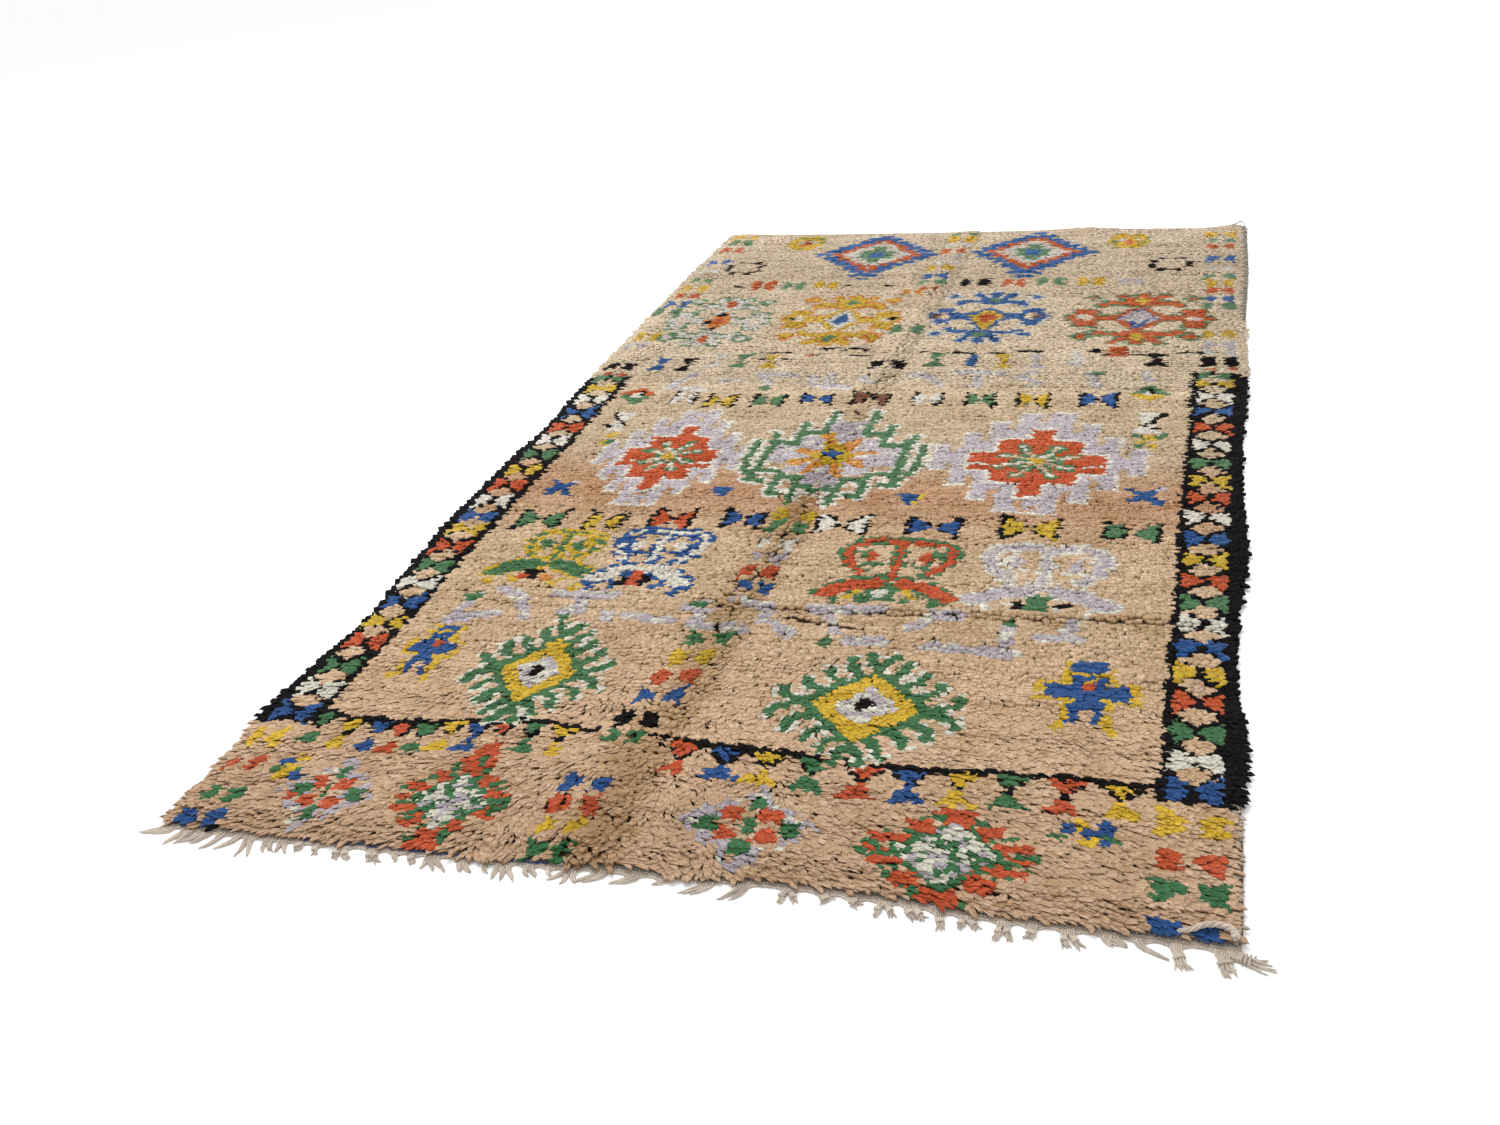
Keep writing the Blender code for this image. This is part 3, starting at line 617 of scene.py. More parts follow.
# %% Dye the hooked diamonds and the crosses beside them
def hooked_diamond(x, y, width, height):
    """Nested diamonds with a comb of green hooks, each laid over a longer white one."""
    combs = []
    for share in (0.06, 0.32, 0.56, 0.80, 1.0):
        foot = (0.47 * width * (1 - share), 0.50 * height * share)
        out = (foot[0] + 0.10 * width * (1 - share) + 0.012, foot[1] + 0.05 * height * (1 + 0.3 * share))
        combs.append((foot, out, (out[0] + 0.008, out[1] + 0.022)))
    for comb in combs:
        paint(stroke(x, y, comb, 0.033, QUARTERS), "white")
    mottle(diamond(x, y, 2.2 * width, 2.0 * height) & (chart == DYES.index("white")), "ground", 0.45)
    for comb in combs:
        paint(stroke(x, y, comb, 0.0175, QUARTERS), "green")
    paint(diamond(x, y, width, height), "green")
    paint(diamond(x, y, 0.77 * width, 0.87 * height), "yellow")
    paint(diamond(x, y, 0.47 * width, 0.48 * height), "lilac", ("white", 0.5))
    paint(diamond(x - 0.004, y + 0.004, 0.17 * width, 0.17 * height), "black")


def stepped_cross(x, y, width, height, arm):
    """A blue cross with a yellow edge and a red heart."""
    edge = block(x, y, arm + 0.026, height) | block(x, y, width + 0.036, 0.8 * arm + 0.020)
    paint(edge, "yellow", ("ground", 0.28))
    paint(block(x, y, arm, height) | block(x, y, width, 0.8 * arm), "blue")
    paint(stroke(x, y, ((-0.5 * arm, 0.050), (0.5 * arm, 0.050)), 0.009), "yellow")
    paint(stroke(x, y, ((0.46 * arm, -0.028), (0.52 * width, -0.028)), 0.012, SIDES), "yellow")
    paint(block(x, y - 0.072, 0.4 * arm, 0.044), "ground")
    paint(stroke(x, y, ((0.6 * arm, -0.45 * height), (0.8 * arm, -0.60 * height)), 0.016, SIDES), "yellow")
    paint(stroke(x, y, ((0.004, 0.036), (-0.004, 0.020)), 0.012), "yellow")
    paint(wedge(x + 0.002, y + 0.012, 0.030, 0.026, -1), "red")


hooked_diamond(0.402, 0.488, 0.182, 0.232)
hooked_diamond(0.978, 0.458, 0.238, 0.226)
stepped_cross(0.178, 0.535, 0.078, 0.160, 0.040)
stepped_cross(1.316, 0.545, 0.132, 0.180, 0.054)
print("Green knots so far:", int((chart == DYES.index("green")).sum()))

# %% [markdown]
# ## The hooks of the two bands
# Two bands of hooks cross the field, one before the palms and one past the bow-ties. Each is a set of open
# strokes, told by its two ends, in a lilac so pale that it shows only faintly.

# %% Dye the lilac hooks
NEAR_HOOKS = metres((
    (160, 632, 240, 660), (165, 640, 178, 720), (215, 750, 268, 722), (268, 722, 300, 660),
    (325, 752, 440, 750), (380, 748, 392, 690), (360, 688, 396, 690), (450, 690, 456, 668),
    (490, 684, 575, 672), (590, 724, 632, 722), (618, 745, 622, 668), (640, 664, 712, 660),
    (672, 758, 735, 742), (735, 742, 738, 700), (765, 692, 800, 652), (825, 745, 945, 757),
    (850, 740, 880, 670), (905, 648, 962, 655), (1005, 700, 1035, 748), (1035, 748, 1080, 752),
    (1042, 648, 1190, 646), (1165, 740, 1170, 660), (1225, 698, 1290, 700), (1275, 755, 1262, 706),
))
FAR_HOOKS = metres((
    (205, 1745, 245, 1835), (232, 1742, 300, 1738), (330, 1792, 372, 1800), (410, 1842, 450, 1778),
    (450, 1846, 500, 1842), (545, 1842, 560, 1790), (590, 1846, 596, 1782), (560, 1772, 650, 1765),
    (672, 1830, 700, 1790), (780, 1856, 830, 1852), (830, 1852, 868, 1792), (890, 1874, 1010, 1872),
    (948, 1865, 952, 1796), (1040, 1842, 1072, 1882), (1072, 1842, 1085, 1800), (1205, 1882, 1226, 1806),
    (1330, 1890, 1345, 1850), (1160, 1940, 1166, 1990),
))
for number, (*start, end_x, end_y) in enumerate(NEAR_HOOKS + FAR_HOOKS):
    bar = stroke(0, 0, (start, (end_x, end_y)), 0.027)
    paint(bar, "lilac", ("white", 0.25 if number < len(NEAR_HOOKS) else 0.5))
for x, y in metres((
    (176, 716), (376, 664), (606, 742), (868, 642), (1168, 744), (446, 1752), (1222, 1884),
)):
    paint(diamond(x, y, 0.034, 0.040), "green")
print("Lilac knots so far:", int((chart == DYES.index("lilac")).sum()))

# %% [markdown]
# ## The palms
# Four palms stand side by side: two curled wings on a stem, over a roof and a small foot. One function
# draws them all from the same strokes, first wide in the edge's wool and then narrow in the palm's own.

# %% Dye the palms
WING = ((0.000, 0.106), (0.050, 0.110), (0.090, 0.094), (0.102, 0.062), (0.088, 0.020), (0.062, -0.016))
CURL = ((0.062, 0.078), (0.072, 0.050), (0.058, 0.018), (0.032, 0.022))
STEM = ((0.0, -0.045), (0.0, 0.100))
ROOF = ((0.026, -0.050), (0.066, -0.062), (0.112, -0.096))
Palm = namedtuple("Palm", "x y wing roof_width height thick own edge mixed")
PALMS = (
    Palm(0.265, 0.892, 0.70, 0.88, 0.84, 0.013, "green", "yellow", 0.45),
    Palm(0.464, 0.900, 0.86, 0.80, 0.98, 0.015, "white", "blue", 0.30),
    Palm(0.936, 0.902, 1.00, 1.00, 1.00, 0.016, "red", "green", 0.06),
    Palm(1.208, 0.905, 1.04, 1.06, 1.00, 0.021, "lilac", "white", 0.15),
)
for palm in PALMS:
    def drawn(points, thick, width=palm.wing):
        """A stroke of this palm and its mirror image."""
        return stroke(palm.x, palm.y, [(a * width, b * palm.height) for a, b in points], thick, SIDES)

    edge = drawn(WING, palm.thick + 0.017) | drawn(CURL, 0.015) | drawn(STEM, 0.029)
    paint(edge, palm.edge, ("ground", 0.18))
    paint(drawn(WING, palm.thick) | drawn(STEM, 0.012), palm.own)
    mottle(drawn(WING, palm.thick), palm.edge, palm.mixed)
    for side in (1, -1):
        wing_x, wing_y = palm.x + side * 0.050 * palm.wing, palm.y + 0.046 * palm.height
        paint(diamond(wing_x, wing_y, 0.030, 0.046), palm.own)
    paint(drawn(ROOF, 0.052, palm.roof_width), palm.edge, ("ground", 0.25))
    paint(drawn(ROOF, 0.036, palm.roof_width), palm.own)
    paint(stroke(palm.x, palm.y, ((0.036, -0.118), (0.050, -0.098)), 0.015, SIDES), palm.edge)
    paint(stroke(palm.x, palm.y, ((0.086, -0.130), (0.096, -0.110)), 0.015, SIDES), palm.edge)
paint_blocks((
    (250, 806, 36, 44, "black"), (236, 798, 26, 24, "red"), (282, 800, 26, 22, "orange"),
    (456, 812, 62, 56, "blue"), (436, 806, 18, 36, "black"), (474, 812, 18, 44, "black"),
    (456, 812, 22, 60, "red"), (928, 812, 56, 52, "green"), (928, 814, 24, 44, "white"),
    (1206, 812, 40, 56, "green"), (1173, 802, 24, 26, "black"), (1250, 804, 26, 26, "black"),
))
paint(stroke(0.928, 0.812, ((0.044, 0.016), (0.060, -0.018)), 0.014, SIDES), "yellow")
print("Palms:", len(PALMS))

# %% [markdown]
# ## The three medallions
# The middle of the rug holds three large medallions: a red one on each side, of eight blocks around a
# check, and a green stepped one with a star between them. Both red ones lie on a pale stepped ground.

# %% Dye the medallions
Step = namedtuple("Step", "rise width height")
RED_STEPS = (
    Step(0.000, 0.175, 0.210), Step(-0.003, 0.280, 0.088), Step(0.128, 0.045, 0.060),
    Step(-0.135, 0.043, 0.070),
)
PALE_STEPS = (
    Step(0.010, 0.450, 0.130), Step(0.008, 0.345, 0.265), Step(0.008, 0.240, 0.390),
    Step(0.008, 0.130, 0.500),
)
SLITS = (Step(0.056, 0.178, 0.062), Step(0.118, 0.125, 0.070), Step(0.186, 0.070, 0.080))
STAR_POINTS = ((0.038, 0.072), (0.074, 0.028))


def red_medallion(x, y, scale):
    """A red stepped cross with a pale star in its heart, on a lilac stepped ground with a white edge."""
    for trim, dye in ((0.0, "white"), (0.018, "lilac")):
        for step in PALE_STEPS:
            paint(block(x, y + step.rise, step.width * scale - trim, step.height - trim), dye)
    for slit in SLITS:
        place = (x, y + 0.008, slit.width * scale, slit.rise)
        paint(blocks(*place, 0.017 * scale, slit.height, QUARTERS), "ground")
    mottle(block(x, y + 0.230, 0.040 * scale, 0.080), "ground", 0.45)
    mottle(block(x, y - 0.205, 0.050 * scale, 0.060), "ground", 0.40)
    for grow, dye in ((0.018, "white"), (0.0, "red")):
        for step in RED_STEPS:
            paint(block(x, y + step.rise, step.width * scale + grow, step.height + grow), dye)
    paint(stroke(x, y, ((0.098 * scale, -0.020), (0.134 * scale, -0.020)), 0.009, SIDES), "white")
    star = np.zeros(len(X), bool)
    for tip_x, tip_y in STAR_POINTS:
        paint(stroke(x, y, ((0, 0), (tip_x * scale, tip_y)), 0.029 * scale, QUARTERS), "green")
        star |= stroke(x, y, ((0, 0), (tip_x * scale, tip_y)), 0.013 * scale, QUARTERS)
    paint(star, "white", ("ground", 0.5))
    paint(diamond(x, y, 0.036 * scale, 0.050), "yellow")


GREEN_STEPS = (
    ((0.045, 0.235), (0.045, 0.118), (0.098, 0.118), (0.098, 0.060), (0.150, 0.060), (0.150, -0.080)),
    ((0.150, -0.080), (0.094, -0.088), (0.094, -0.190), (0.074, -0.190)), ((0.098, 0.160), (0.098, 0.118)),
    ((0.094, -0.112), (0.046, -0.118), (0.040, -0.230)), ((0.158, 0.110), (0.150, 0.060)),
    ((0.186, 0.060), (0.186, -0.030), (0.170, -0.100)), ((0.150, -0.080), (0.158, -0.130), (0.130, -0.130)),
    ((0.000, -0.190), (0.022, -0.160)),
)
STAR_ARMS = (
    (-0.034, 0.100), (0.038, 0.078), (0.080, 0.026), (0.066, -0.040), (0.026, -0.094), (-0.036, -0.088),
    (-0.082, -0.040), (-0.074, 0.022),
)


def green_medallion(x, y):
    """A stepped green outline with white sides, a lilac cross and a star with a blue heart."""
    for path in GREEN_STEPS:
        paint(stroke(x, y, path, 0.038, SIDES), "white", ("ground", 0.2))
    cross = block(x, y + 0.004, 0.280, 0.100) | block(x, y, 0.180, 0.190)
    cross |= block(x, y + 0.010, 0.080, 0.340)
    paint(cross, "lilac", ("white", 0.14))
    for path in GREEN_STEPS:
        paint(stroke(x, y, path, 0.019, SIDES), "green")
    for number, arm in enumerate(STAR_ARMS):
        paint(stroke(x, y, ((0, 0), arm), 0.028), "orange" if number % 2 else "yellow")
        paint(stroke(x, y, ((0.55 * arm[0], 0.55 * arm[1]), arm), 0.022), "orange")
    paint(diamond(x, y, 0.110, 0.110), "yellow")
    paint(diamond(x, y, 0.044, 0.052), "blue")


red_medallion(0.342, 1.352, 0.76)
red_medallion(1.138, 1.390, 1.00)
green_medallion(0.706, 1.384)
for x, y, width, height in ((0.156, 1.182, 0.050, 0.058), (1.363, 1.250, 0.058, 0.056)):
    paint(stroke(x, y, ((-width / 2, -height / 2), (width / 2, height / 2)), 0.017, SIDES), "blue")
    paint(block(x + width / 2, y + height / 2, 0.020, 0.016), "lilac")
paint(wedge(0.912, 1.190, 0.062, 0.054, -1), "yellow")
paint(wedge(0.908, 1.192, 0.052, 0.046, -1), "blue")
paint(wedge(0.512, 1.188, 0.048, 0.040, -1), "blue")
print("Blue knots so far:", int((chart == DYES.index("blue")).sum()))

# %% Dye the hourglasses
Glass = namedtuple("Glass", "x y width height dye")
HOURGLASSES = metres((
    (130, 1896, 46, 92, "blue"), (200, 1898, 42, 88, "black"), (272, 1930, 44, 86, "white"),
    (336, 1930, 44, 94, "green"), (412, 1932, 48, 94, "yellow"), (828, 1960, 48, 96, "green"),
    (916, 1960, 38, 92, "blue"), (992, 1958, 40, 92, "yellow"), (1072, 1960, 40, 90, "lilac"),
    (1164, 2000, 44, 76, "white"), (1350, 1984, 62, 86, "black"), (166, 1432, 36, 66, "yellow"),
), Glass)
for glass in HOURGLASSES:
    paint(hourglass(glass.x, glass.y, glass.width, glass.height, 0.25), glass.dye)
for x, y, width, lean in ((0.158, 1.535, 0.044, -1), (1.352, 1.602, 0.058, 1)):
    paint(hourglass(x, y, width, 0.104, 0.35), "white")
    line = ((0.030 * lean, 0.046), (0.004 * lean, 0.000), (-0.020 * lean, -0.020))
    paint(stroke(x, y, line, 0.011), "black")
    paint(stroke(x, y, ((0.018 * lean, -0.030), (0.032 * lean, -0.022)), 0.010), "black")
paint(block(1.356, 1.530, 0.036, 0.026), "yellow")
paint(stroke(1.354, 1.488, ((-0.014, 0.012), (0.014, -0.012)), 0.012), "yellow")
paint(stroke(1.356, 1.530, ((0.018, -0.004), (0.028, 0.008)), 0.013, SIDES), "green")
paint(stroke(1.354, 1.488, ((-0.018, -0.010), (-0.004, 0.004)), 0.011), "green")
paint_blocks((
    (514, 1976, "brown"), (500, 1972, "red"), (1202, 2036, "black"), (1236, 2012, "black"),
    (172, 1420, "green"), (690, 1888, "lilac"),
), (0.022, 0.020))
paint_blocks(((1258, 2030, 44, 56, "red"), (1266, 2008, 30, 30, "red")))
DASHES = metres((
    (372, 452, 1990), (380, 400, 1942), (432, 452, 1946), (504, 572, 2020), (590, 640, 2020),
    (614, 662, 1980), (765, 800, 2016), (866, 918, 2010), (952, 990, 2014), (1024, 1078, 2026),
    (1288, 1336, 2010), (1396, 1452, 2030), (150, 166, 2506), (572, 606, 2522), (478, 488, 2514),
))
for start, end, y in DASHES:
    paint(stroke(0, 0, ((start, y), (end, y)), 0.010), "black")
for x, y, low in ((0.145, 1.690, "green"), (1.346, 1.770, "yellow")):
    paint(frame_of(x, y, 0.098, 0.104, 0.034), "red" if low == "green" else "green")
    paint(frame_of(x, y, 0.098, 0.104, 0.040) & (Y < y), low)
    paint(diamond(x, y, 0.036, 0.044), "white")
    paint(block(x + 0.006, y + 0.014, 0.014, 0.024), "black")
print("Hourglasses:", len(HOURGLASSES))

# %% [markdown]
# ## The far end
# Four hooked medallions share one shape in four sets of wool. Past a last row of bow-ties stand two
# serrated diamonds, with flowers and rings of small black bows beside them.

# %% Dye the hooked medallions
MEDALLION_ARM, MEDALLION_EDGE = 0.150, 0.012
MEDALLION_HOOKS = (
    ((0.000, 0.118), (0.070, 0.116), (0.084, 0.096)), ((0.000, 0.150), (0.004, 0.180)),
    ((0.018, 0.134), (0.046, 0.176)),
)
BEADS = ((0.106, 0.156), (-0.106, 0.156), (0.106, -0.130), (-0.112, -0.130))
Medallion = namedtuple("Medallion", "x y scale rise fall own edge core heart hub")
MEDALLIONS = (
    Medallion(0.186, 2.216, 0.94, 0.080, 0.080, "white", "green", "orange", "red", "red"),
    Medallion(0.524, 2.236, 1.06, 0.080, 0.080, "yellow", "orange", "white", "blue", "green"),
    Medallion(0.908, 2.270, 1.04, 0.046, 0.100, "blue", "white", "yellow", "red", "green"),
    Medallion(1.294, 2.266, 1.20, 0.080, 0.080, "red", "green", "blue", "lilac", "yellow"),
)


def kite(x, y, width, rise, fall):
    """A diamond whose far and near points lie at reaches of their own."""
    return np.abs(X - x) / (width / 2) + np.maximum((Y - y) / rise, (y - Y) / fall) < 1


def hooked_medallion(one):
    """A cross with flared arms, hooks above and below, a diamond heart, two hubs and four beads."""
    def placed(points):
        """A hook's points at this medallion's width."""
        return [(a * one.scale, b) for a, b in points]

    for grow, dye in ((MEDALLION_EDGE, one.edge), (0.0, one.own)):
        paint(block(one.x, one.y, 2 * MEDALLION_ARM * one.scale + grow, 0.042 + grow), dye)
        for side in (1, -1):
            flare = block(one.x + side * 0.112 * one.scale, one.y, 0.046 * one.scale + grow, 0.122 + grow)
            paint(flare, dye)
            paint(block(one.x, one.y + side * 0.124, 0.052 * one.scale + grow, 0.056 + grow), dye)
        for hook in MEDALLION_HOOKS:
            paint(stroke(one.x, one.y, placed(hook), 0.024 + grow, QUARTERS), dye)
        paint(kite(one.x, one.y, 0.120 * one.scale + grow, one.rise + 0.026, one.fall + 0.026), dye)
    paint(kite(one.x, one.y, 0.088 * one.scale, one.rise, one.fall), one.core)
    paint(kite(one.x, one.y, 0.052 * one.scale, 0.6 * one.rise, 0.6 * one.fall), one.heart)
    for side in (1, -1):
        paint(diamond(one.x + side * 0.110 * one.scale, one.y, 0.040, 0.056), "ground")
        paint(diamond(one.x, one.y + side * 0.136, 0.040, 0.060), one.hub)
    for side_x, side_y in BEADS:
        bead = (one.x + side_x * one.scale, one.y + side_y)
        paint(diamond(*bead, 0.066, 0.066), one.edge)
        paint(diamond(*bead, 0.036, 0.038), one.own)


for one in MEDALLIONS:
    hooked_medallion(one)
paint_blocks((
    (182, 2268, 18, 34, "black"), (160, 2204, 16, 24, "black"), (186, 2160, 18, 24, "black"),
    (388, 2234, 18, 28, "black"), (660, 2244, 18, 24, "black"), (770, 2270, 20, 34, "brown"),
    (1034, 2272, 20, 34, "brown"), (1144, 2270, 18, 40, "white"), (1434, 2262, 22, 32, "white"),
))
mottle(diamond(1.294, 2.266, 0.110, 0.160), "lilac", 0.5)
print("Medallions:", len(MEDALLIONS))

# %% Dye the serrated diamonds, the flowers and the rings
TEETH = 6


def serrated_diamond(x, y, reach_x, reach_y):
    """A pale diamond with a band of red blocks and blue teeth, a green stepped heart and a short tail."""
    paint(diamond(x, y, 1.68 * reach_x, 1.68 * reach_y), "white", ("ground", 0.22))
    for nearness, width, dye in ((0.79, 0.034, "red"), (1.0, 0.046, "blue")):
        for step in range(TEETH + 1):
            share = step / TEETH
            out_x, out_y = nearness * (reach_x * (1 - share)), nearness * (reach_y * share)
            paint(blocks(x, y, out_x, out_y, width, 0.029, QUARTERS), dye)
    paint(block(x, y - reach_y - 0.006, 0.094, 0.018), "blue")
    paint(block(x, y - reach_y - 0.032, 0.044, 0.018), "blue")
    for rise, width, height in ((0.0, 0.094, 0.070), (0.0, 0.040, 0.150), (0.030, 0.110, 0.018)):
        paint(block(x, y + rise, width, height), "green")
    paint(block(x, y, 0.044, 0.052), "blue")


def flower(x, y):
    """A yellow flower with green in its petals, pale cheeks and a red heart."""
    paint(np.hypot((X - x) / 0.060, (Y - y) / 0.074) < 1, "yellow")
    mottle(np.hypot((X - x) / 0.062, (Y - y) / 0.076) < 1, "green", 0.15)
    paint(wedge(x, y + 0.062, 0.040, 0.034, -1), "ground")
    for beside in (-0.018, 0.024):
        paint(block(x + beside, y + 0.008, 0.022, 0.020), "white")
    paint(diamond(x, y - 0.014, 0.040, 0.082), "orange", ("red", 0.45))


def ring_of_bows(x, y):
    """Four small black bows around a bare square."""
    paint(bow_tie(x, y + 0.050, 0.070, 0.026, 0.3), "black")
    paint(bow_tie(x, y - 0.050, 0.070, 0.030, 0.3), "black")
    for side in (1, -1):
        paint(hourglass(x + side * 0.046, y, 0.026, 0.058, 0.3), "black")


serrated_diamond(0.500, 2.800, 0.158, 0.184)
serrated_diamond(0.960, 2.822, 0.158, 0.182)
flower(0.256, 2.920)
flower(1.228, 2.930)
ring_of_bows(0.128, 2.670)
ring_of_bows(1.352, 2.706)
knots_of = {dye: int((chart == number).sum()) for number, dye in enumerate(DYES)}
print("Knots of each dye:", knots_of)

# %% Dye the side edges
OVERCAST = 0.021
OVERCAST_LENGTH = 0.6
FAR_OVERCAST_FROM, NEAR_OVERCAST_TO = 2.20, 0.28
from_right = read_table(SIDE_EDGES, knot_y, "right") - knot_x
overcast = (from_right < OVERCAST) & ((knot_y > FAR_OVERCAST_FROM) | (knot_y < NEAR_OVERCAST_TO))
paint(overcast, "grey")
length = np.where(overcast, OVERCAST_LENGTH * length, length)
print("Knots on the overcast side edge:", int(overcast.sum()))

# %% [markdown]
# ## The wool
# Every dye is one material. They share a node group that turns a lock's own coordinates (around it, from
# root to tip, and its chance) into the streaks of hand-spun wool, and the place on the rug into slow shifts
# of tone. The group also paints shade into the colour: at the roots, on the flanks and under the tips of
# the locks, along the rows and on the folds, with more saturation where it is darker. Each dye brings its
# own tones, from the near end to the far one, where they are more faded.

# %% Helpers for material nodes
def add_node(tree, kind, wires=(), **settings):
    """Add one node. Its wires are pairs of an input and either another node's output or a plain value."""
    made = tree.nodes.new("ShaderNode" + kind)
    for name, value in settings.items():
        setattr(made, name, value)
    for socket, value in wires:
        if isinstance(value, bpy.types.NodeSocket):
            tree.links.new(value, made.inputs[socket])
        else:
            made.inputs[socket].default_value = value
    return made


def remap(tree, value, low, high, start=0.0, end=1.0):
    """A value's way from start to end, as a number from low to high."""
    return add_node(tree, "MapRange", [(0, value), (1, start), (2, end), (3, low), (4, high)]).outputs[0]


def speckle(tree, place, scale, detail, roughness=0.5):
    """Soft noise at each place."""
    wires = [("Vector", place), ("Scale", scale), ("Detail", detail), ("Roughness", roughness)]
    return add_node(tree, "TexNoise", wires).outputs[0]


def stretched(tree, place, scales):
    """Each place with its three coordinates scaled apart."""
    return add_node(tree, "VectorMath", [(0, place), (1, scales)], operation="MULTIPLY").outputs[0]


def axes(tree, vector):
    """The three coordinates of a vector, by name."""
    return add_node(tree, "SeparateXYZ", [("Vector", vector)]).outputs


def multiplied(tree, value, *others):
    """The product of several values."""
    for other in others:
        value = add_node(tree, "Math", [(0, value), (1, other)], operation="MULTIPLY").outputs[0]
    return value


def new_group(name, wool):
    """An empty node group that takes one colour and gives a colour, a roughness and a bump height."""
    group = bpy.data.node_groups.new(name, "ShaderNodeTree")
    group.interface.new_socket(wool, in_out="INPUT", socket_type="NodeSocketColor")
    for socket, kind in (("Colour", "Color"), ("Roughness", "Float"), ("Height", "Float")):
        group.interface.new_socket(socket, in_out="OUTPUT", socket_type="NodeSocket" + kind)
    return group, group.nodes.new("NodeGroupInput").outputs[wool], group.nodes.new("NodeGroupOutput").inputs


def give_out(group, outlets, colour, roughness, height):
    """Wire the three results of a node group to its end."""
    for socket, value in (("Colour", colour), ("Roughness", roughness), ("Height", height)):
        group.links.new(value, outlets[socket])


def dressed_material(name, group, bump_depth, specular, sheen):
    """A material with its colour, roughness and bump from a node group, and that group's node in it."""
    material, tree, shader = new_material(name)
    own = add_node(tree, "Group", node_tree=group)
    bump = add_node(tree, "Bump", [("Height", own.outputs["Height"]), ("Distance", bump_depth)])
    tree.links.new(own.outputs["Colour"], shader.inputs["Base Color"])
    tree.links.new(own.outputs["Roughness"], shader.inputs["Roughness"])
    tree.links.new(bump.outputs["Normal"], shader.inputs["Normal"])
    shader.inputs["Specular IOR Level"].default_value = specular
    shader.inputs["Sheen Weight"].default_value = sheen
    shader.inputs["Sheen Roughness"].default_value = 0.5
    return material, own


def linear(tone):
    """A screen tone of three numbers up to 255 as a colour of light."""
    shares = [value / 255 for value in tone]
    return tuple(s / 12.92 if s <= 0.04045 else ((s + 0.055) / 1.055) ** 2.4 for s in shares) + (1.0,)


print("Pale floor as light:", [round(v, 3) for v in linear((250, 250, 250))])

# %% The streaks of hand-spun wool and its painted shade
STREAKS_AROUND, STREAKS_ALONG, STREAKS_APART = 6.0, 0.8, 97.0
# Painted shade darkens each lock towards its root, on its flanks and under its tip, where the crevices are.
ROOT_SHADE, TIP_PALE, CREVICE_SHADE = 0.80, 0.14, 0.46
LOCK_SHIFT = 0.09
WORN_FROM, WORN_TO = 0.1, 0.9
ROW_SHADE_SCALE = (9.0, 82.0, 9.0)

streaks, raw_wool, wool_out = new_group("handspun_wool", "Wool")
lie = add_node(streaks, "Attribute", attribute_name="lie").outputs["Vector"]
along_lock, lock_number = axes(streaks, lie)["Y"], axes(streaks, lie)["Z"]
painted_light = add_node(streaks, "Attribute", attribute_name="painted_light").outputs["Fac"]
place = add_node(streaks, "TexCoord").outputs["Object"]
along_rug = axes(streaks, place)["Y"]

fibre = speckle(streaks, stretched(streaks, lie, (STREAKS_AROUND, STREAKS_ALONG, STREAKS_APART)), 3.0, 3.0)
slow = speckle(streaks, place, 9.0, 4.0, 0.6)
# Crosswise lines of painted shade, where the rows of locks shade each other.
row_shade_lines = speckle(streaks, stretched(streaks, place, ROW_SHADE_SCALE), 1.0, 3.0)
palest = remap(streaks, along_rug, 1.24, 1.10, WORN_FROM, WORN_TO)
darkest = remap(streaks, along_rug, 0.62, 0.78, WORN_FROM, WORN_TO)
shift = multiplied(
    streaks,
    remap(streaks, lock_number, 1 - LOCK_SHIFT, 1 + LOCK_SHIFT),
    remap(streaks, slow, 0.90, 1.10, 0.3, 0.7),
    remap(streaks, row_shade_lines, 0.87, 1.03, 0.34, 0.50),
    remap(streaks, fibre, darkest, palest, 0.3, 0.7),
    # Painted shade, darker towards each lock's root where the locks crowd together.
    remap(streaks, along_lock, ROOT_SHADE, 1.0, 0.05, 0.75),
    # Painted shade on the flanks and under the tips of the locks, and on the folds and in the creases.
    remap(streaks, painted_light, CREVICE_SHADE, 1.0, -0.30, 0.75),
)
# More saturation where the colour is darker, mostly from painted shade: a painted warm light bounced
# between the locks.
deeper = remap(streaks, shift, 1.40, 1.0, 0.50, 1.00)
shaded = add_node(streaks, "HueSaturation", [("Color", raw_wool), ("Saturation", deeper), ("Value", shift)])
tip = remap(streaks, along_lock, 0.0, TIP_PALE, 0.6, 1.0)
bleached = add_node(streaks, "HueSaturation", [
    ("Color", shaded.outputs[0]), ("Saturation", 0.8), ("Value", 1.25), ("Fac", tip),
])
give_out(streaks, wool_out, bleached.outputs[0], remap(streaks, fibre, 0.84, 1.0), fibre)
print("Nodes in the wool:", len(streaks.nodes))

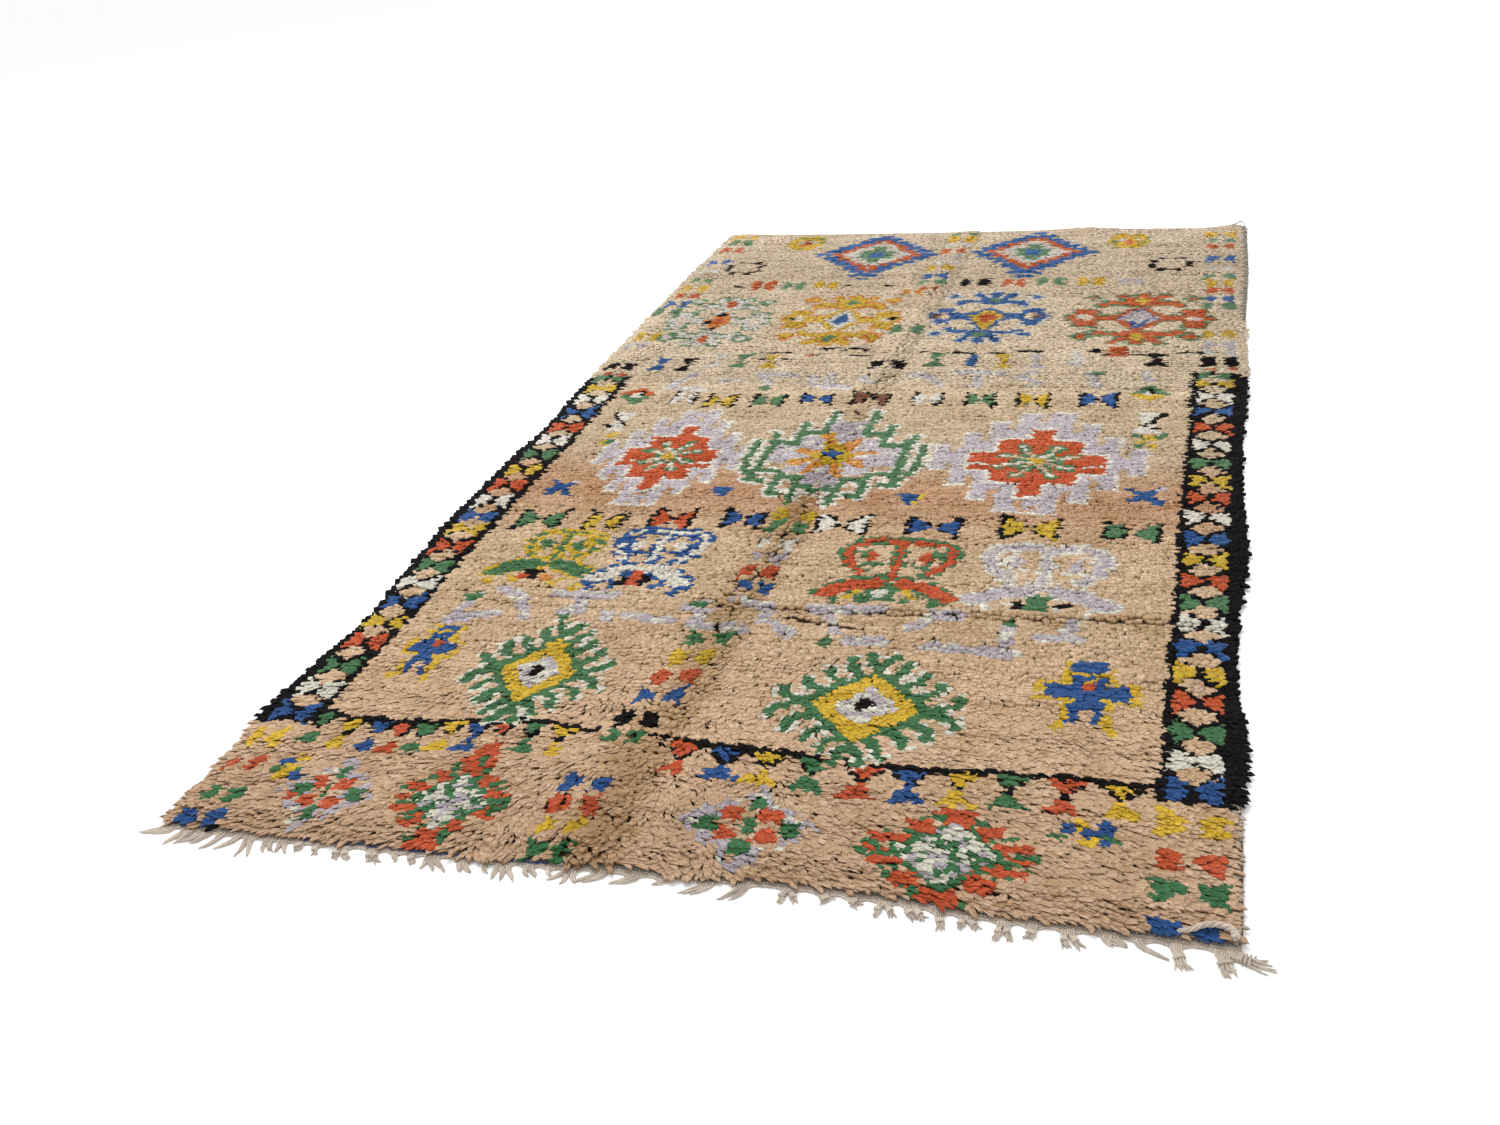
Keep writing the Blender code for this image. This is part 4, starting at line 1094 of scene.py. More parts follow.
# %% The tones of the dyes
WOOLS = {
    "ground": (
        (0.00, 178, 148, 121), (0.40, 189, 160, 131), (0.95, 193, 168, 138), (1.18, 176, 138, 108),
        (1.24, 178, 143, 113), (1.40, 184, 163, 136), (1.70, 192, 171, 143), (1.80, 211, 192, 165),
        (2.12, 219, 200, 173), (2.60, 204, 185, 160), (3.00, 214, 196, 171),
    ),
    "red": ((0.0, 174, 74, 41), (1.2, 179, 79, 45), (3.0, 197, 110, 70)),
    "blue": ((0.0, 24, 68, 122), (1.2, 36, 74, 126), (3.0, 78, 112, 164)),
    "yellow": ((0.0, 193, 156, 37), (1.2, 187, 157, 59), (3.0, 216, 178, 80)),
    "green": ((0.0, 48, 95, 56), (1.2, 74, 110, 74), (3.0, 112, 144, 110)),
    "white": ((0.0, 190, 188, 172), (1.2, 206, 200, 188), (3.0, 206, 200, 190)),
    "lilac": ((0.0, 156, 147, 152), (0.9, 178, 169, 172), (1.3, 179, 170, 174), (3.0, 196, 186, 184)),
    "black": ((0.0, 22, 20, 20), (1.2, 24, 22, 22), (3.0, 38, 35, 34)),
    "orange": ((0.0, 196, 120, 60), (1.2, 196, 140, 86), (3.0, 208, 138, 66)),
    "brown": ((0.0, 116, 70, 50), (1.2, 122, 82, 66), (3.0, 126, 88, 72)),
    "grey": ((0.0, 172, 158, 140), (1.2, 168, 158, 144), (3.0, 164, 156, 144)),
}
SPECULAR, SHEEN = 0.2, 0.10
BLACK_SPECULAR, BLACK_SHEEN = 0.05, 0.0
BAND_WOBBLE = 0.05
BUMP_DEPTH = 0.0020


def wool_material(dye):
    """The material of one wool: its tones along the rug, through the shared streaks."""
    specular, sheen = (BLACK_SPECULAR, BLACK_SHEEN) if dye == "black" else (SPECULAR, SHEEN)
    material, own = dressed_material("wool_" + dye, streaks, BUMP_DEPTH, specular, sheen)
    tree = material.node_tree
    place = add_node(tree, "TexCoord").outputs["Object"]
    shifted = add_node(tree, "Math", [
        (0, speckle(tree, place, 5.0, 3.0)), (1, 2 * BAND_WOBBLE), (2, axes(tree, place)["Y"]),
    ], operation="MULTIPLY_ADD").outputs[0]
    share = remap(tree, shifted, 0.0, 1.0, -MIDDLE.y + BAND_WOBBLE, LENGTH - MIDDLE.y)
    ramp = add_node(tree, "ValToRGB", [("Fac", share)])
    stops = ramp.color_ramp.elements
    for number, (place_along, *tone) in enumerate(WOOLS[dye]):
        stop = stops[number] if number < 2 else stops.new(1.0)
        stop.position = place_along / LENGTH
        stop.color = linear(tone)
    tree.links.new(ramp.outputs["Color"], own.inputs["Wool"])
    return material


wools = {dye: wool_material(dye) for dye in DYES}
print("Wools:", len(wools))

# %% [markdown]
# ## Growing the locks
# A lock is a small closed shape. It leaves the foundation at a point, swells as it rises and leans over,
# and ends in a blunt tip. Two rings and two end points are enough for one, as there are so many. Near the
# viewer a lock has three flat-shaded sides and a long tip, then come round ones of four sides, and past
# the bow-ties round ones of three. Two facts on each corner drive its colour: its lie (around the lock,
# from root to tip, and a chance of its own) and its painted light: 1 on its top, less on its flanks, at its
# root and under its tip, and less again on the folds and in the creases, a painted shade of the crevices.

# %% The shape of a lock
LOCK_HALF_THICK = 0.0037
FINE_SHARE = 0.54
ABOVE_PILE = 0.0016
OPEN_SLIT, SLIT_WIDTH = ((0.778, 0.712), (0.846, 0.702), (0.925, 0.688)), 0.016
LUMP_RELIEF = 0.0013
ROW_RELIEF = 0.0014
GREY_RISE = 0.6
CORNER_CHANCE = 0.20
TOP_TURN = {4: 0.5, 3: 0.25}
Ring = namedtuple("Ring", "forward height swell")
RINGS = (Ring(0.26, 0.86, 0.92), Ring(0.84, 1.00, 1.00))
FLAME_FOOT, FLAME = Ring(0.16, 0.84, 0.92), Ring(0.76, 0.98, 0.90)
TIP_HEIGHT, FLAME_TIP_HEIGHT = 0.44, 0.56
# Painted shade under each lock's tip, on the lengthwise fold and in the creases beside the buckle.
PAINTED_LIGHT_AT_TIP, RIDGE_SHADE, CREASE_SHADE = -0.20, 0.72, 0.50
PLAIN_FROM = 1.75
LOWEST_WOOL = 0.001
UV_MARGIN = 0.12
BANDS_OF_UV = np.array(((0.0, 0.3), (0.3, 0.75), (0.75, 1.0)))

lock_width = read_table(LAYS, knot_y, "half_width") * chance.normal(1.0, 0.22, len(knot_x)).clip(0.5, 1.6)
lock_width = lock_width * np.where(fine, FINE_SHARE, 1.0) * (1 + 0.10 * fluffed)
lock_rise = np.maximum(top + ABOVE_PILE - LOCK_HALF_THICK - FOUNDATION_TOP, 0.003)
uneven = 0.6 * chance.normal(0, 1, len(knot_x)).clip(-2, 2) + 2 * wander(knot_x, knot_y, 0.024, 1.1)
lock_rise = lock_rise + LUMP_RELIEF * clumps * uneven
in_rows = wander(0.6 * knot_x, 4.6 * knot_y, 0.055, 3.8) * (0.4 + 0.6 * soft_step(knot_y, 0.25, 0.7))
lock_rise = lock_rise + ROW_RELIEF * in_rows
lock_rise = np.where(chart == DYES.index("grey"), GREY_RISE * lock_rise, lock_rise)
lock_chance = chance.uniform(0, 1, len(knot_x))
corner_chance = 1 + CORNER_CHANCE * chance.normal(0, 1, (len(knot_x), 11)).clip(-1.8, 1.8)
# How deep the painted shade of the crevices is in each zone.
painted_shade_depth = read_table(LAYS, knot_y, "shade")
# Painted shade on the lengthwise fold and in the creases beside the buckle.
fold_shade = RIDGE_SHADE * fluffed + CREASE_SHADE * creased
kept = ~stroke(0, 0, OPEN_SLIT, SLIT_WIDTH)
print("Locks rise", round(1000 * lock_rise.mean(), 1), "mm above the foundation")


def lock_points(chosen, sides):
    """The corners of each chosen lock: its root, ring by ring, and its tip."""
    reach = (length * lean)[chosen]
    forward = np.stack([towards_x[chosen], towards_y[chosen], np.zeros(len(chosen))], 1)
    aside = np.stack([-towards_y[chosen], towards_x[chosen], np.zeros(len(chosen))], 1)
    root = np.stack([knot_x[chosen], knot_y[chosen], np.full(len(chosen), FOUNDATION_TOP)], 1)
    upright = np.array([0.0, 0.0, 1.0])
    points = [root]
    turns = math.tau * (np.arange(sides) + TOP_TURN[sides]) / sides
    pointed = near_end[chosen]
    lower = Ring(*(a + (b - a) * pointed for a, b in zip(RINGS[0], FLAME_FOOT)))
    upper = Ring(*(a + (b - a) * pointed for a, b in zip(RINGS[1], FLAME)))
    for ring in (lower, upper):
        height = (ring.height * lock_rise[chosen])[:, None]
        centre = root + forward * (ring.forward * reach)[:, None] + upright * height
        for turn in turns:
            swell = ring.swell * corner_chance[chosen, len(points) - 1]
            half_width = swell * lock_width[chosen] * math.cos(turn)
            half_thick = swell * LOCK_HALF_THICK * math.sin(turn)
            points.append(centre + aside * half_width[:, None] + upright * half_thick[:, None])
    tip_beside = (2.0 * (corner_chance[chosen, -1] - 1) * lock_width[chosen])[:, None]
    tip_height = (TIP_HEIGHT + (FLAME_TIP_HEIGHT - TIP_HEIGHT) * pointed) * lock_rise[chosen]
    points.append(root + forward * reach[:, None] + aside * tip_beside + upright * tip_height[:, None])
    points = np.stack(points, 1)
    points[:, :, 2] = np.maximum(points[:, :, 2], LOWEST_WOOL)
    return points - np.array(MIDDLE)


# %% Faces and coordinates of a lock
def lock_painted_light(sides):
    """The painted light on each corner of a lock: 1 on its top, falling to its flanks, low at its root,
    underside and tip, a painted shade.
    """
    around = np.sin(math.tau * (np.arange(sides) + TOP_TURN[sides]) / sides)
    painted_light = np.where(around > 0, np.sqrt(np.abs(around) / around.max()), around)
    return np.concatenate([[0.0], painted_light, painted_light, [PAINTED_LIGHT_AT_TIP]])


def lock_faces(sides):
    """The faces of one lock as lists of corners, and each face corner's place around and along the lock."""
    last = 2 * sides + 1
    faces, places = [], []
    for side in range(sides):
        after = (side + 1) % sides
        left, right = side / sides, (side + 1) / sides
        middle = (left + right) / 2
        low_a, low_b, high_a, high_b = 1 + side, 1 + after, 1 + sides + side, 1 + sides + after
        faces.append((0, low_a, low_b))
        places.append(((middle, 0.0, 0), (left, 1.0, 0), (right, 1.0, 0)))
        faces.append((low_a, high_a, high_b, low_b))
        places.append(((left, 0.0, 1), (left, 1.0, 1), (right, 1.0, 1), (right, 0.0, 1)))
        faces.append((high_a, last, high_b))
        places.append(((left, 0.0, 2), (middle, 1.0, 2), (right, 0.0, 2)))
    return faces, places


def mesh_from(name, points, faces, smooth=True):
    """An object from arrays of corners and faces, in the frame."""
    made = bpy.data.meshes.new(name)
    sizes = np.array([len(face) for face in faces])
    made.vertices.add(len(points))
    made.loops.add(int(sizes.sum()))
    made.polygons.add(len(faces))
    made.vertices.foreach_set("co", np.asarray(points, np.float32).ravel())
    made.loops.foreach_set("vertex_index", np.concatenate(faces).astype(np.int32))
    made.polygons.foreach_set("loop_start", (np.cumsum(sizes) - sizes).astype(np.int32))
    made.polygons.foreach_set("use_smooth", np.full(len(faces), smooth))
    made.update(calc_edges=True)
    made.validate()
    thing = bpy.data.objects.new(name, made)
    bpy.context.scene.collection.objects.link(thing)
    return thing


def add_fact(mesh, name, kind, domain, field, values):
    """A fact told for each corner point or face corner of a mesh."""
    made = mesh.attributes.new(name, kind, domain)
    made.data.foreach_set(field, np.asarray(values, np.float32).ravel())


def add_baking_map(mesh, cells):
    """The map for baking, a place in it for each face corner."""
    mesh.uv_layers.new(name="OFBake").data.foreach_set("uv", np.asarray(cells, np.float32).ravel())


AHEAD = np.array((0.0, RINGS[0].forward, RINGS[1].forward, 1.0))
print("A fine lock has", len(lock_faces(3)[0]), "faces")

# %% Grow the locks of a group of knots
def grow_locks(name, chosen, material):
    """All locks of the chosen knots as one mesh. Each has a cell of its own in the map for baking."""
    every_point, every_face, every_lie, every_cell, every_painted_light = [], [], [], [], []
    cells = math.ceil(math.sqrt(len(chosen)))
    inside = 1 - 2 * UV_MARGIN
    first, done = 0, 0
    flat_ones, far_ones = fine[chosen], knot_y[chosen] >= PLAIN_FROM
    kinds = (3, flat_ones), (4, ~flat_ones & ~far_ones), (3, ~flat_ones & far_ones)
    for sides, of_kind in kinds:
        group = chosen[of_kind]
        if not len(group):
            continue
        points = lock_points(group, sides)
        every_point.append(points.reshape(-1, 3))
        # Each corner's painted light, dimmed by the painted shade of deep crevices, folds and creases.
        painted_light = 1 - painted_shade_depth[group][:, None] * (1 - lock_painted_light(sides)[None])
        every_painted_light.append((painted_light - fold_shade[group][:, None]).ravel())
        faces, places = lock_faces(sides)
        for start in first + np.arange(len(group)) * points.shape[1]:
            every_face.extend(np.array(face) + start for face in faces)
        first += points.shape[0] * points.shape[1]
        flat_places = np.array([place for face in places for place in face])
        around, share, band = flat_places[:, 0], flat_places[:, 1], flat_places[:, 2].astype(int)
        ahead = AHEAD[band] + share * (AHEAD[band + 1] - AHEAD[band])
        band_start, band_end = BANDS_OF_UV[band].T
        upwards = band_start + share * (band_end - band_start)
        here = np.stack(np.broadcast_arrays(around[None], ahead[None], lock_chance[group][:, None]), 2)
        every_lie.append(here.reshape(-1, 3))
        number = done + np.arange(len(group))
        done += len(group)
        u = ((number % cells)[:, None] + UV_MARGIN + inside * around[None]) / cells
        v = ((number // cells)[:, None] + UV_MARGIN + inside * upwards[None]) / cells
        every_cell.append(np.stack([u, v], 2).reshape(-1, 2))
    grown = mesh_from(name, np.concatenate(every_point), every_face)
    facets = flat_ones.sum() * len(lock_faces(3)[0])
    grown.data.polygons.foreach_set("use_smooth", np.arange(len(every_face)) >= facets)
    add_fact(grown.data, "painted_light", "FLOAT", "POINT", "value", np.concatenate(every_painted_light))
    add_fact(grown.data, "lie", "FLOAT_VECTOR", "CORNER", "vector", np.concatenate(every_lie))
    add_baking_map(grown.data, np.concatenate(every_cell))
    grown.data.materials.append(material)
    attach(grown, "root")
    return grown


GROUND_STRIPS = 4
locks = []
for number, dye in enumerate(DYES[1:], 1):
    locks.append(grow_locks("locks_" + dye, np.flatnonzero((chart == number) & kept), wools[dye]))
for strip in range(GROUND_STRIPS):
    in_strip = (across >= strip / GROUND_STRIPS) & (across < (strip + 1) / GROUND_STRIPS)
    ground = np.flatnonzero((chart == 0) & kept & in_strip)
    locks.append(grow_locks(f"locks_ground_{strip + 1}", ground, wools["ground"]))
for piece in locks:
    piece.data.calc_loop_triangles()
    print(piece.name, len(piece.data.loop_triangles), "triangles")

# %% [markdown]
# ## The cotton
# Under the wool lies a woven foundation. Its warp ends leave the near end through a narrow plain-woven web
# and hang together in wisps and knots. One function makes all of these from round yarns.

# %% The look of plied cotton
PLY_TURNS_PER_CM, PLIES = 1.6, 3
COTTON_SPECULAR, COTTON_SHEEN = 0.25, 0.12

twists, raw_cotton, cotton_out = new_group("plied_cotton", "Cotton")
lie = axes(twists, add_node(twists, "Attribute", attribute_name="lie").outputs["Vector"])
place = add_node(twists, "TexCoord").outputs["Object"]
climb = [(0, lie["Y"]), (1, PLY_TURNS_PER_CM), (2, lie["X"])]
turned = add_node(twists, "Math", climb, operation="MULTIPLY_ADD").outputs[0]
turned = multiplied(twists, turned, math.tau * PLIES)
ply = add_node(twists, "Math", [(0, turned)], operation="SINE").outputs[0]
soiled = speckle(twists, place, 45.0, 4.0, 0.65)
# The cotton is darker in the grooves between its plies, a painted shade, with real soiling and a tone for
# each yarn.
shift = multiplied(
    twists,
    remap(twists, ply, 0.72, 1.0, -1.0, 0.2),
    remap(twists, soiled, 0.78, 1.10, 0.3, 0.7),
    remap(twists, lie["Z"], 0.86, 1.08),
)
shaded = add_node(twists, "HueSaturation", [("Color", raw_cotton), ("Value", shift)]).outputs[0]
give_out(twists, cotton_out, shaded, remap(twists, soiled, 0.80, 0.98), ply)


def yarn_material(name, tone, depth):
    """The material of a plied yarn."""
    material, own = dressed_material(name, twists, depth, COTTON_SPECULAR, COTTON_SHEEN)
    own.inputs["Cotton"].default_value = linear(tone)
    return material


cotton = yarn_material("warp_cotton", (219, 203, 186), 0.0003)
blue_weft = yarn_material("blue_weft", (66, 92, 150), 0.0003)
edge_wool = yarn_material("edge_wool", (184, 172, 152), 0.0008)
print("Nodes in the cotton:", len(twists.nodes))

# %% Spin yarns
Yarn = namedtuple("Yarn", "points radius sides")


def headings(line):
    """The ways ahead, aside and upwards at each place of a line."""
    ahead = np.gradient(line, axis=0)
    ahead /= np.linalg.norm(ahead, axis=1)[:, None]
    aside = np.cross(ahead, (0.0, 0.0, 1.0))
    aside /= np.maximum(np.linalg.norm(aside, axis=1), 1e-6)[:, None]
    return ahead, aside, np.cross(aside, ahead)


def tube(yarn):
    """The corners and faces of one yarn: rings along its line, and a point at each end."""
    line = np.asarray(yarn.points, float)
    ahead, aside, upwards = headings(line)
    turns = math.tau * np.arange(yarn.sides) / yarn.sides
    radius = np.broadcast_to(np.asarray(yarn.radius, float), len(line))[:, None, None]
    rings = aside[:, None] * np.cos(turns)[None, :, None] + upwards[:, None] * np.sin(turns)[None, :, None]
    rings = line[:, None] + rings * radius
    count, sides = len(line), yarn.sides
    tips = line[:1] - ahead[:1] * radius[0], line[-1:] + ahead[-1:] * radius[-1]
    corners = np.concatenate([rings.reshape(-1, 3), *tips])
    index = np.arange(count * sides).reshape(count, sides)
    after = np.roll(index, -1, axis=1)
    walls = np.stack([index[:-1], index[1:], after[1:], after[:-1]], -1).reshape(-1, 4)
    start, end = count * sides, count * sides + 1
    caps = [(start, index[0, side], after[0, side]) for side in range(sides)]
    caps += [(end, after[-1, side], index[-1, side]) for side in range(sides)]
    travelled = np.concatenate([[0], np.cumsum(np.linalg.norm(np.diff(line, axis=0), axis=1))])
    return corners, [*walls, *caps], travelled


def spin(name, yarns, material):
    """Many yarns as one mesh, each with its own cell in the map for baking."""
    cells = math.ceil(math.sqrt(len(yarns)))
    every_corner, every_face, every_lie, every_cell = [], [], [], []
    first = 0
    for number, yarn in enumerate(yarns):
        corners, faces, travelled = tube(yarn)
        sides, own_chance = yarn.sides, chance.uniform()
        low = np.array([number % cells, number // cells]) + UV_MARGIN
        for face in faces:
            every_face.append(np.array(face) + first)
            spots = [(corner // sides, corner % sides) for corner in face]
            around_seen = {side for _, side in spots}
            wraps = {0, sides - 1} <= around_seen
            for corner, (ring, side) in zip(face, spots):
                if ring >= len(travelled):
                    ring = 0 if corner % sides == 0 else len(travelled) - 1
                    side = min(beside for _, beside in spots[1:])
                around = (sides if wraps and side == 0 else side) / sides
                every_lie.append((around, travelled[ring] * 100, own_chance))
                share = travelled[ring] / travelled[-1]
                every_cell.append((low + (1 - 2 * UV_MARGIN) * np.array([around, share])) / cells)
        every_corner.append(corners)
        first += len(corners)
    spun = mesh_from(name, np.concatenate(every_corner), every_face)
    add_fact(spun.data, "lie", "FLOAT_VECTOR", "CORNER", "vector", every_lie)
    add_baking_map(spun.data, every_cell)
    spun.data.materials.append(material)
    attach(spun, "root")
    print(name, "has", len(yarns), "yarns in", len(every_face), "faces")
    return spun


# %% [markdown]
# ## The fringe
# Each bunch of warp ends is told by its place, the number and width of its tails, how far they reach and
# lean, and whether it is loose or knotted. A tail is a few thin yarns that lie beside each other.

# %% The bunches of the fringe
Bunch = namedtuple("Bunch", "x width tails reach lean splay kind")
FRINGE = tuple(Bunch(*words[:6], "knot" if words[6] else "wisp") for words in (
    (0.010, 0.009, 2, 0.012, -0.026, 0.010, 0), (0.048, 0.008, 2, 0.032, -0.014, 0.006, 0),
    (0.078, 0.009, 2, 0.025, -0.018, 0.008, 0), (0.106, 0.007, 1, 0.030, -0.012, 0.000, 0),
    (0.134, 0.007, 1, 0.028, -0.018, 0.000, 0), (0.156, 0.006, 2, 0.040, 0.010, 0.010, 0),
    (0.188, 0.006, 2, 0.024, 0.012, 0.006, 0), (0.212, 0.006, 2, 0.022, 0.010, 0.008, 0),
    (0.240, 0.009, 1, 0.010, 0.006, 0.000, 1), (0.270, 0.006, 1, 0.018, 0.003, 0.000, 1),
    (0.312, 0.008, 2, 0.026, 0.008, 0.010, 1), (0.360, 0.007, 2, 0.022, 0.012, 0.006, 1),
    (0.396, 0.006, 1, 0.013, 0.008, 0.000, 0), (0.424, 0.008, 1, 0.014, 0.006, 0.000, 1),
    (0.455, 0.006, 3, 0.025, 0.012, 0.012, 0), (0.504, 0.006, 2, 0.022, 0.010, 0.008, 0),
    (0.538, 0.006, 1, 0.016, 0.008, 0.000, 0), (0.566, 0.006, 3, 0.033, 0.010, 0.010, 0),
    (0.603, 0.006, 2, 0.018, 0.012, 0.006, 0), (0.634, 0.006, 1, 0.012, 0.006, 0.000, 0),
    (0.664, 0.006, 3, 0.026, -0.004, 0.012, 0), (0.708, 0.007, 2, 0.020, -0.022, 0.006, 0),
    (0.757, 0.006, 2, 0.016, -0.024, 0.006, 0), (0.800, 0.006, 1, 0.010, -0.010, 0.000, 0),
    (0.862, 0.007, 2, 0.026, -0.024, 0.008, 0), (0.912, 0.006, 2, 0.030, -0.018, 0.012, 0),
    (0.976, 0.007, 2, 0.024, 0.002, 0.016, 1), (1.024, 0.010, 1, 0.011, 0.006, 0.000, 1),
    (1.064, 0.010, 1, 0.009, 0.010, 0.000, 1), (1.106, 0.007, 2, 0.025, 0.004, 0.020, 1),
    (1.142, 0.008, 2, 0.019, 0.016, 0.008, 1), (1.178, 0.009, 1, 0.028, 0.010, 0.000, 1),
    (1.214, 0.007, 2, 0.021, 0.008, 0.016, 1), (1.262, 0.007, 2, 0.032, 0.000, 0.010, 1),
    (1.298, 0.010, 1, 0.020, -0.004, 0.000, 1), (1.342, 0.007, 2, 0.030, 0.010, 0.010, 1),
    (1.394, 0.008, 2, 0.012, 0.014, 0.008, 0), (1.428, 0.006, 1, 0.022, 0.032, 0.000, 0),
    (1.472, 0.012, 1, 0.036, 0.014, 0.000, 1), (1.526, 0.016, 1, 0.034, 0.012, 0.000, 1),
    (1.540, 0.015, 1, 0.014, 0.043, 0.000, 1),
))
TAIL_GAP = 0.0012


def tails():
    """Each tail of the fringe: where it leaves the web, its width, lean, reach and kind."""
    for bunch in FRINGE:
        for number in range(bunch.tails):
            beside = number - (bunch.tails - 1) / 2
            reach = bunch.reach * (1 - 0.16 * abs(beside) - 0.08 * (number % 2))
            lean = bunch.lean + beside * bunch.splay
            yield bunch.x + beside * (bunch.width + TAIL_GAP), bunch.width, lean, reach, bunch.kind


print("Tails:", len(list(tails())))

# %% Weave the web
WEB_DEPTH, WEB_INSIDE, WEB_THICK = 0.0115, 0.011, 0.0034
CLEARANCE = 0.0005
WARP_PITCH = 0.0050
WEFTS = 5
WEFT_RADIUS, WARP_RADIUS = 0.0013, 0.0011
WEFT_WAVE, WARP_WAVE = 0.0005, 0.0006
BLUE_FROM, BLUE_TO, BLUE_WEFT = 0.24, 0.63, 3
SLACK_DEPTH, SLACK_FROM, SLACK_FULL = 0.0050, 0.004, 0.020
WEFT_WANDER, WARP_PAST, WARP_DEEPER = 0.0005, 0.0004, 0.0026
BLUE_LIFT = (0.0, 0.0002, 0.0014)


def web_front(x):
    """The outer edge of the web."""
    return read_table(SHORT_EDGES, x, "near") - CLEARANCE - WEB_DEPTH


def slack(x):
    """How far the web's outer edge falls back between the bunches of the fringe, from 0 to 1."""
    nearest = np.min([np.abs(np.asarray(x) - bunch.x) for bunch in FRINGE], axis=0)
    return soft_step(nearest, SLACK_FROM, SLACK_FULL)


yarns = []
weft_x = np.arange(0.001, WIDTH, WARP_PITCH / 2)
for number in range(WEFTS):
    beside = WEFT_RADIUS + WEB_DEPTH * number / (WEFTS - 1)
    over = np.sin(math.pi * weft_x / WARP_PITCH + math.pi * number)
    weft_y = web_front(weft_x) + beside + WEFT_WANDER * wander(weft_x, weft_x, 0.03, 3.3 + number)
    weft_y = weft_y + SLACK_DEPTH * slack(weft_x) * (1 - number / WEFTS)
    places = all_in_frame(weft_x, weft_y, WEB_THICK / 2 + WEFT_WAVE * over)
    yarns.append(Yarn(places, WEFT_RADIUS, 4))
dyed = (weft_x > BLUE_FROM) & (weft_x < BLUE_TO)
blue = Yarn(yarns[BLUE_WEFT].points[dyed] + np.array(BLUE_LIFT), WEFT_RADIUS, 6)
for number, x in enumerate(np.arange(WARP_PITCH / 2, WIDTH, WARP_PITCH)):
    steps = np.linspace(0, 1, 2 * WEFTS)
    over = np.sin(math.pi * (WEFTS - 1) * steps + math.pi * (number % 2) + math.pi / 2)
    start = web_front(x) - WARP_PAST + SLACK_DEPTH * float(slack(x))
    y = start + (web_front(x) + WEB_DEPTH + WEB_INSIDE + WARP_DEEPER - start) * steps
    yarns.append(Yarn(all_in_frame(x, y, WEB_THICK / 2 + WARP_WAVE * over), WARP_RADIUS, 4))
web = spin("web", yarns, cotton)
blue_line = spin("blue_weft_line", [blue], blue_weft)

# %% Spin the fringe
END_RADIUS = 0.0014
ENDS_PER_WIDTH = 0.0014
TAIL_STEPS = 11
TAIL_CURL = 0.0022
ROOT_INSIDE = 0.005
KNOT_AT, KNOT_TURNS, KNOT_STEPS = 0.50, 3, 24
KNOT_BULGE, KNOT_HALF, KNOT_YARN = 0.0016, 0.15, 0.0015
KNOT_LENGTH, KNOT_HEIGHT, KNOT_ROUND = 0.0046, 0.0042, 0.0026
TAIL_LIFT, TAIL_STRAY, TAIL_WAVE, TAIL_THINS = 0.0002, 0.28, 0.20, 0.4
Width = namedtuple("Width", "along share")
WIDTHS = {
    "wisp": (Width(0.0, 1.70), Width(0.4, 1.15), Width(0.75, 0.80), Width(1.0, 0.45)),
    "knot": (Width(0.0, 1.30), Width(0.42, 0.75), Width(0.60, 0.85), Width(1.0, 1.60)),
}


def tail_place(tail, along, beside):
    """A place on the floor beside the line of a tail, at a share of its reach."""
    root, width, lean, reach, kind = tail
    front = web_front(root)
    x = root + lean * np.maximum(along, 0) ** 1.5
    y = front - reach * along
    heading = np.stack([1.5 * lean * np.maximum(along, 0) ** 0.5, np.full_like(along, -reach)])
    heading /= np.linalg.norm(heading, axis=0)
    share = read_table(WIDTHS[kind], along, "share") * width / 2 * beside
    return x - heading[1] * share, y + heading[0] * share


ends = []
for tail in tails():
    width, reach, kind = tail[1], tail[3], tail[4]
    count = max(4, round(width / ENDS_PER_WIDTH) + 1)
    sway = chance.uniform(0, math.tau)
    for number in range(count):
        beside = 2 * number / (count - 1) - 1
        along = np.linspace(-ROOT_INSIDE / reach, chance.uniform(0.78, 1.10), TAIL_STEPS)
        loose = np.clip(along, 0, 1)
        stray = TAIL_STRAY * chance.normal() * loose ** 2
        stray = stray + TAIL_WAVE * np.sin(5 * along + chance.uniform(0, math.tau)) * loose
        x, y = tail_place(tail, along, 0.8 * beside + stray)
        x = x + TAIL_CURL * np.sin(4.5 * along + sway) * loose
        layer = END_RADIUS * (1.0 + 1.4 * (number % 2) * (1 - loose ** 2))
        layer = layer + 0.0012 * chance.uniform() * loose * (1 - loose)
        bulge = KNOT_BULGE * np.exp(-((along - KNOT_AT) / KNOT_HALF) ** 2) * (kind == "knot")
        places = all_in_frame(x, y, layer + bulge + TAIL_LIFT)
        ends.append(Yarn(places, END_RADIUS * (1 - TAIL_THINS * loose ** 4), 5))
    if kind == "knot":
        turn = np.linspace(0, math.tau * KNOT_TURNS, KNOT_STEPS)
        along = KNOT_AT + KNOT_LENGTH / reach * (turn / turn[-1] - 0.5)
        x, y = tail_place(tail, along, 1.5 * np.cos(turn))
        x = x + TAIL_CURL * np.sin(4.5 * along + sway) * KNOT_AT
        z = KNOT_HEIGHT + KNOT_ROUND * np.sin(turn)
        ends.append(Yarn(all_in_frame(x, y, z), KNOT_YARN, 6))
fringe = spin("fringe", ends, cotton)

# %% [markdown]
# ## The cords and the far edge
# A plied bundle of warp lies back over the pile at the near right corner, and a small loop of it stands at
# the far right one. The far end is turned under, which leaves a rolled edge of undyed wool.

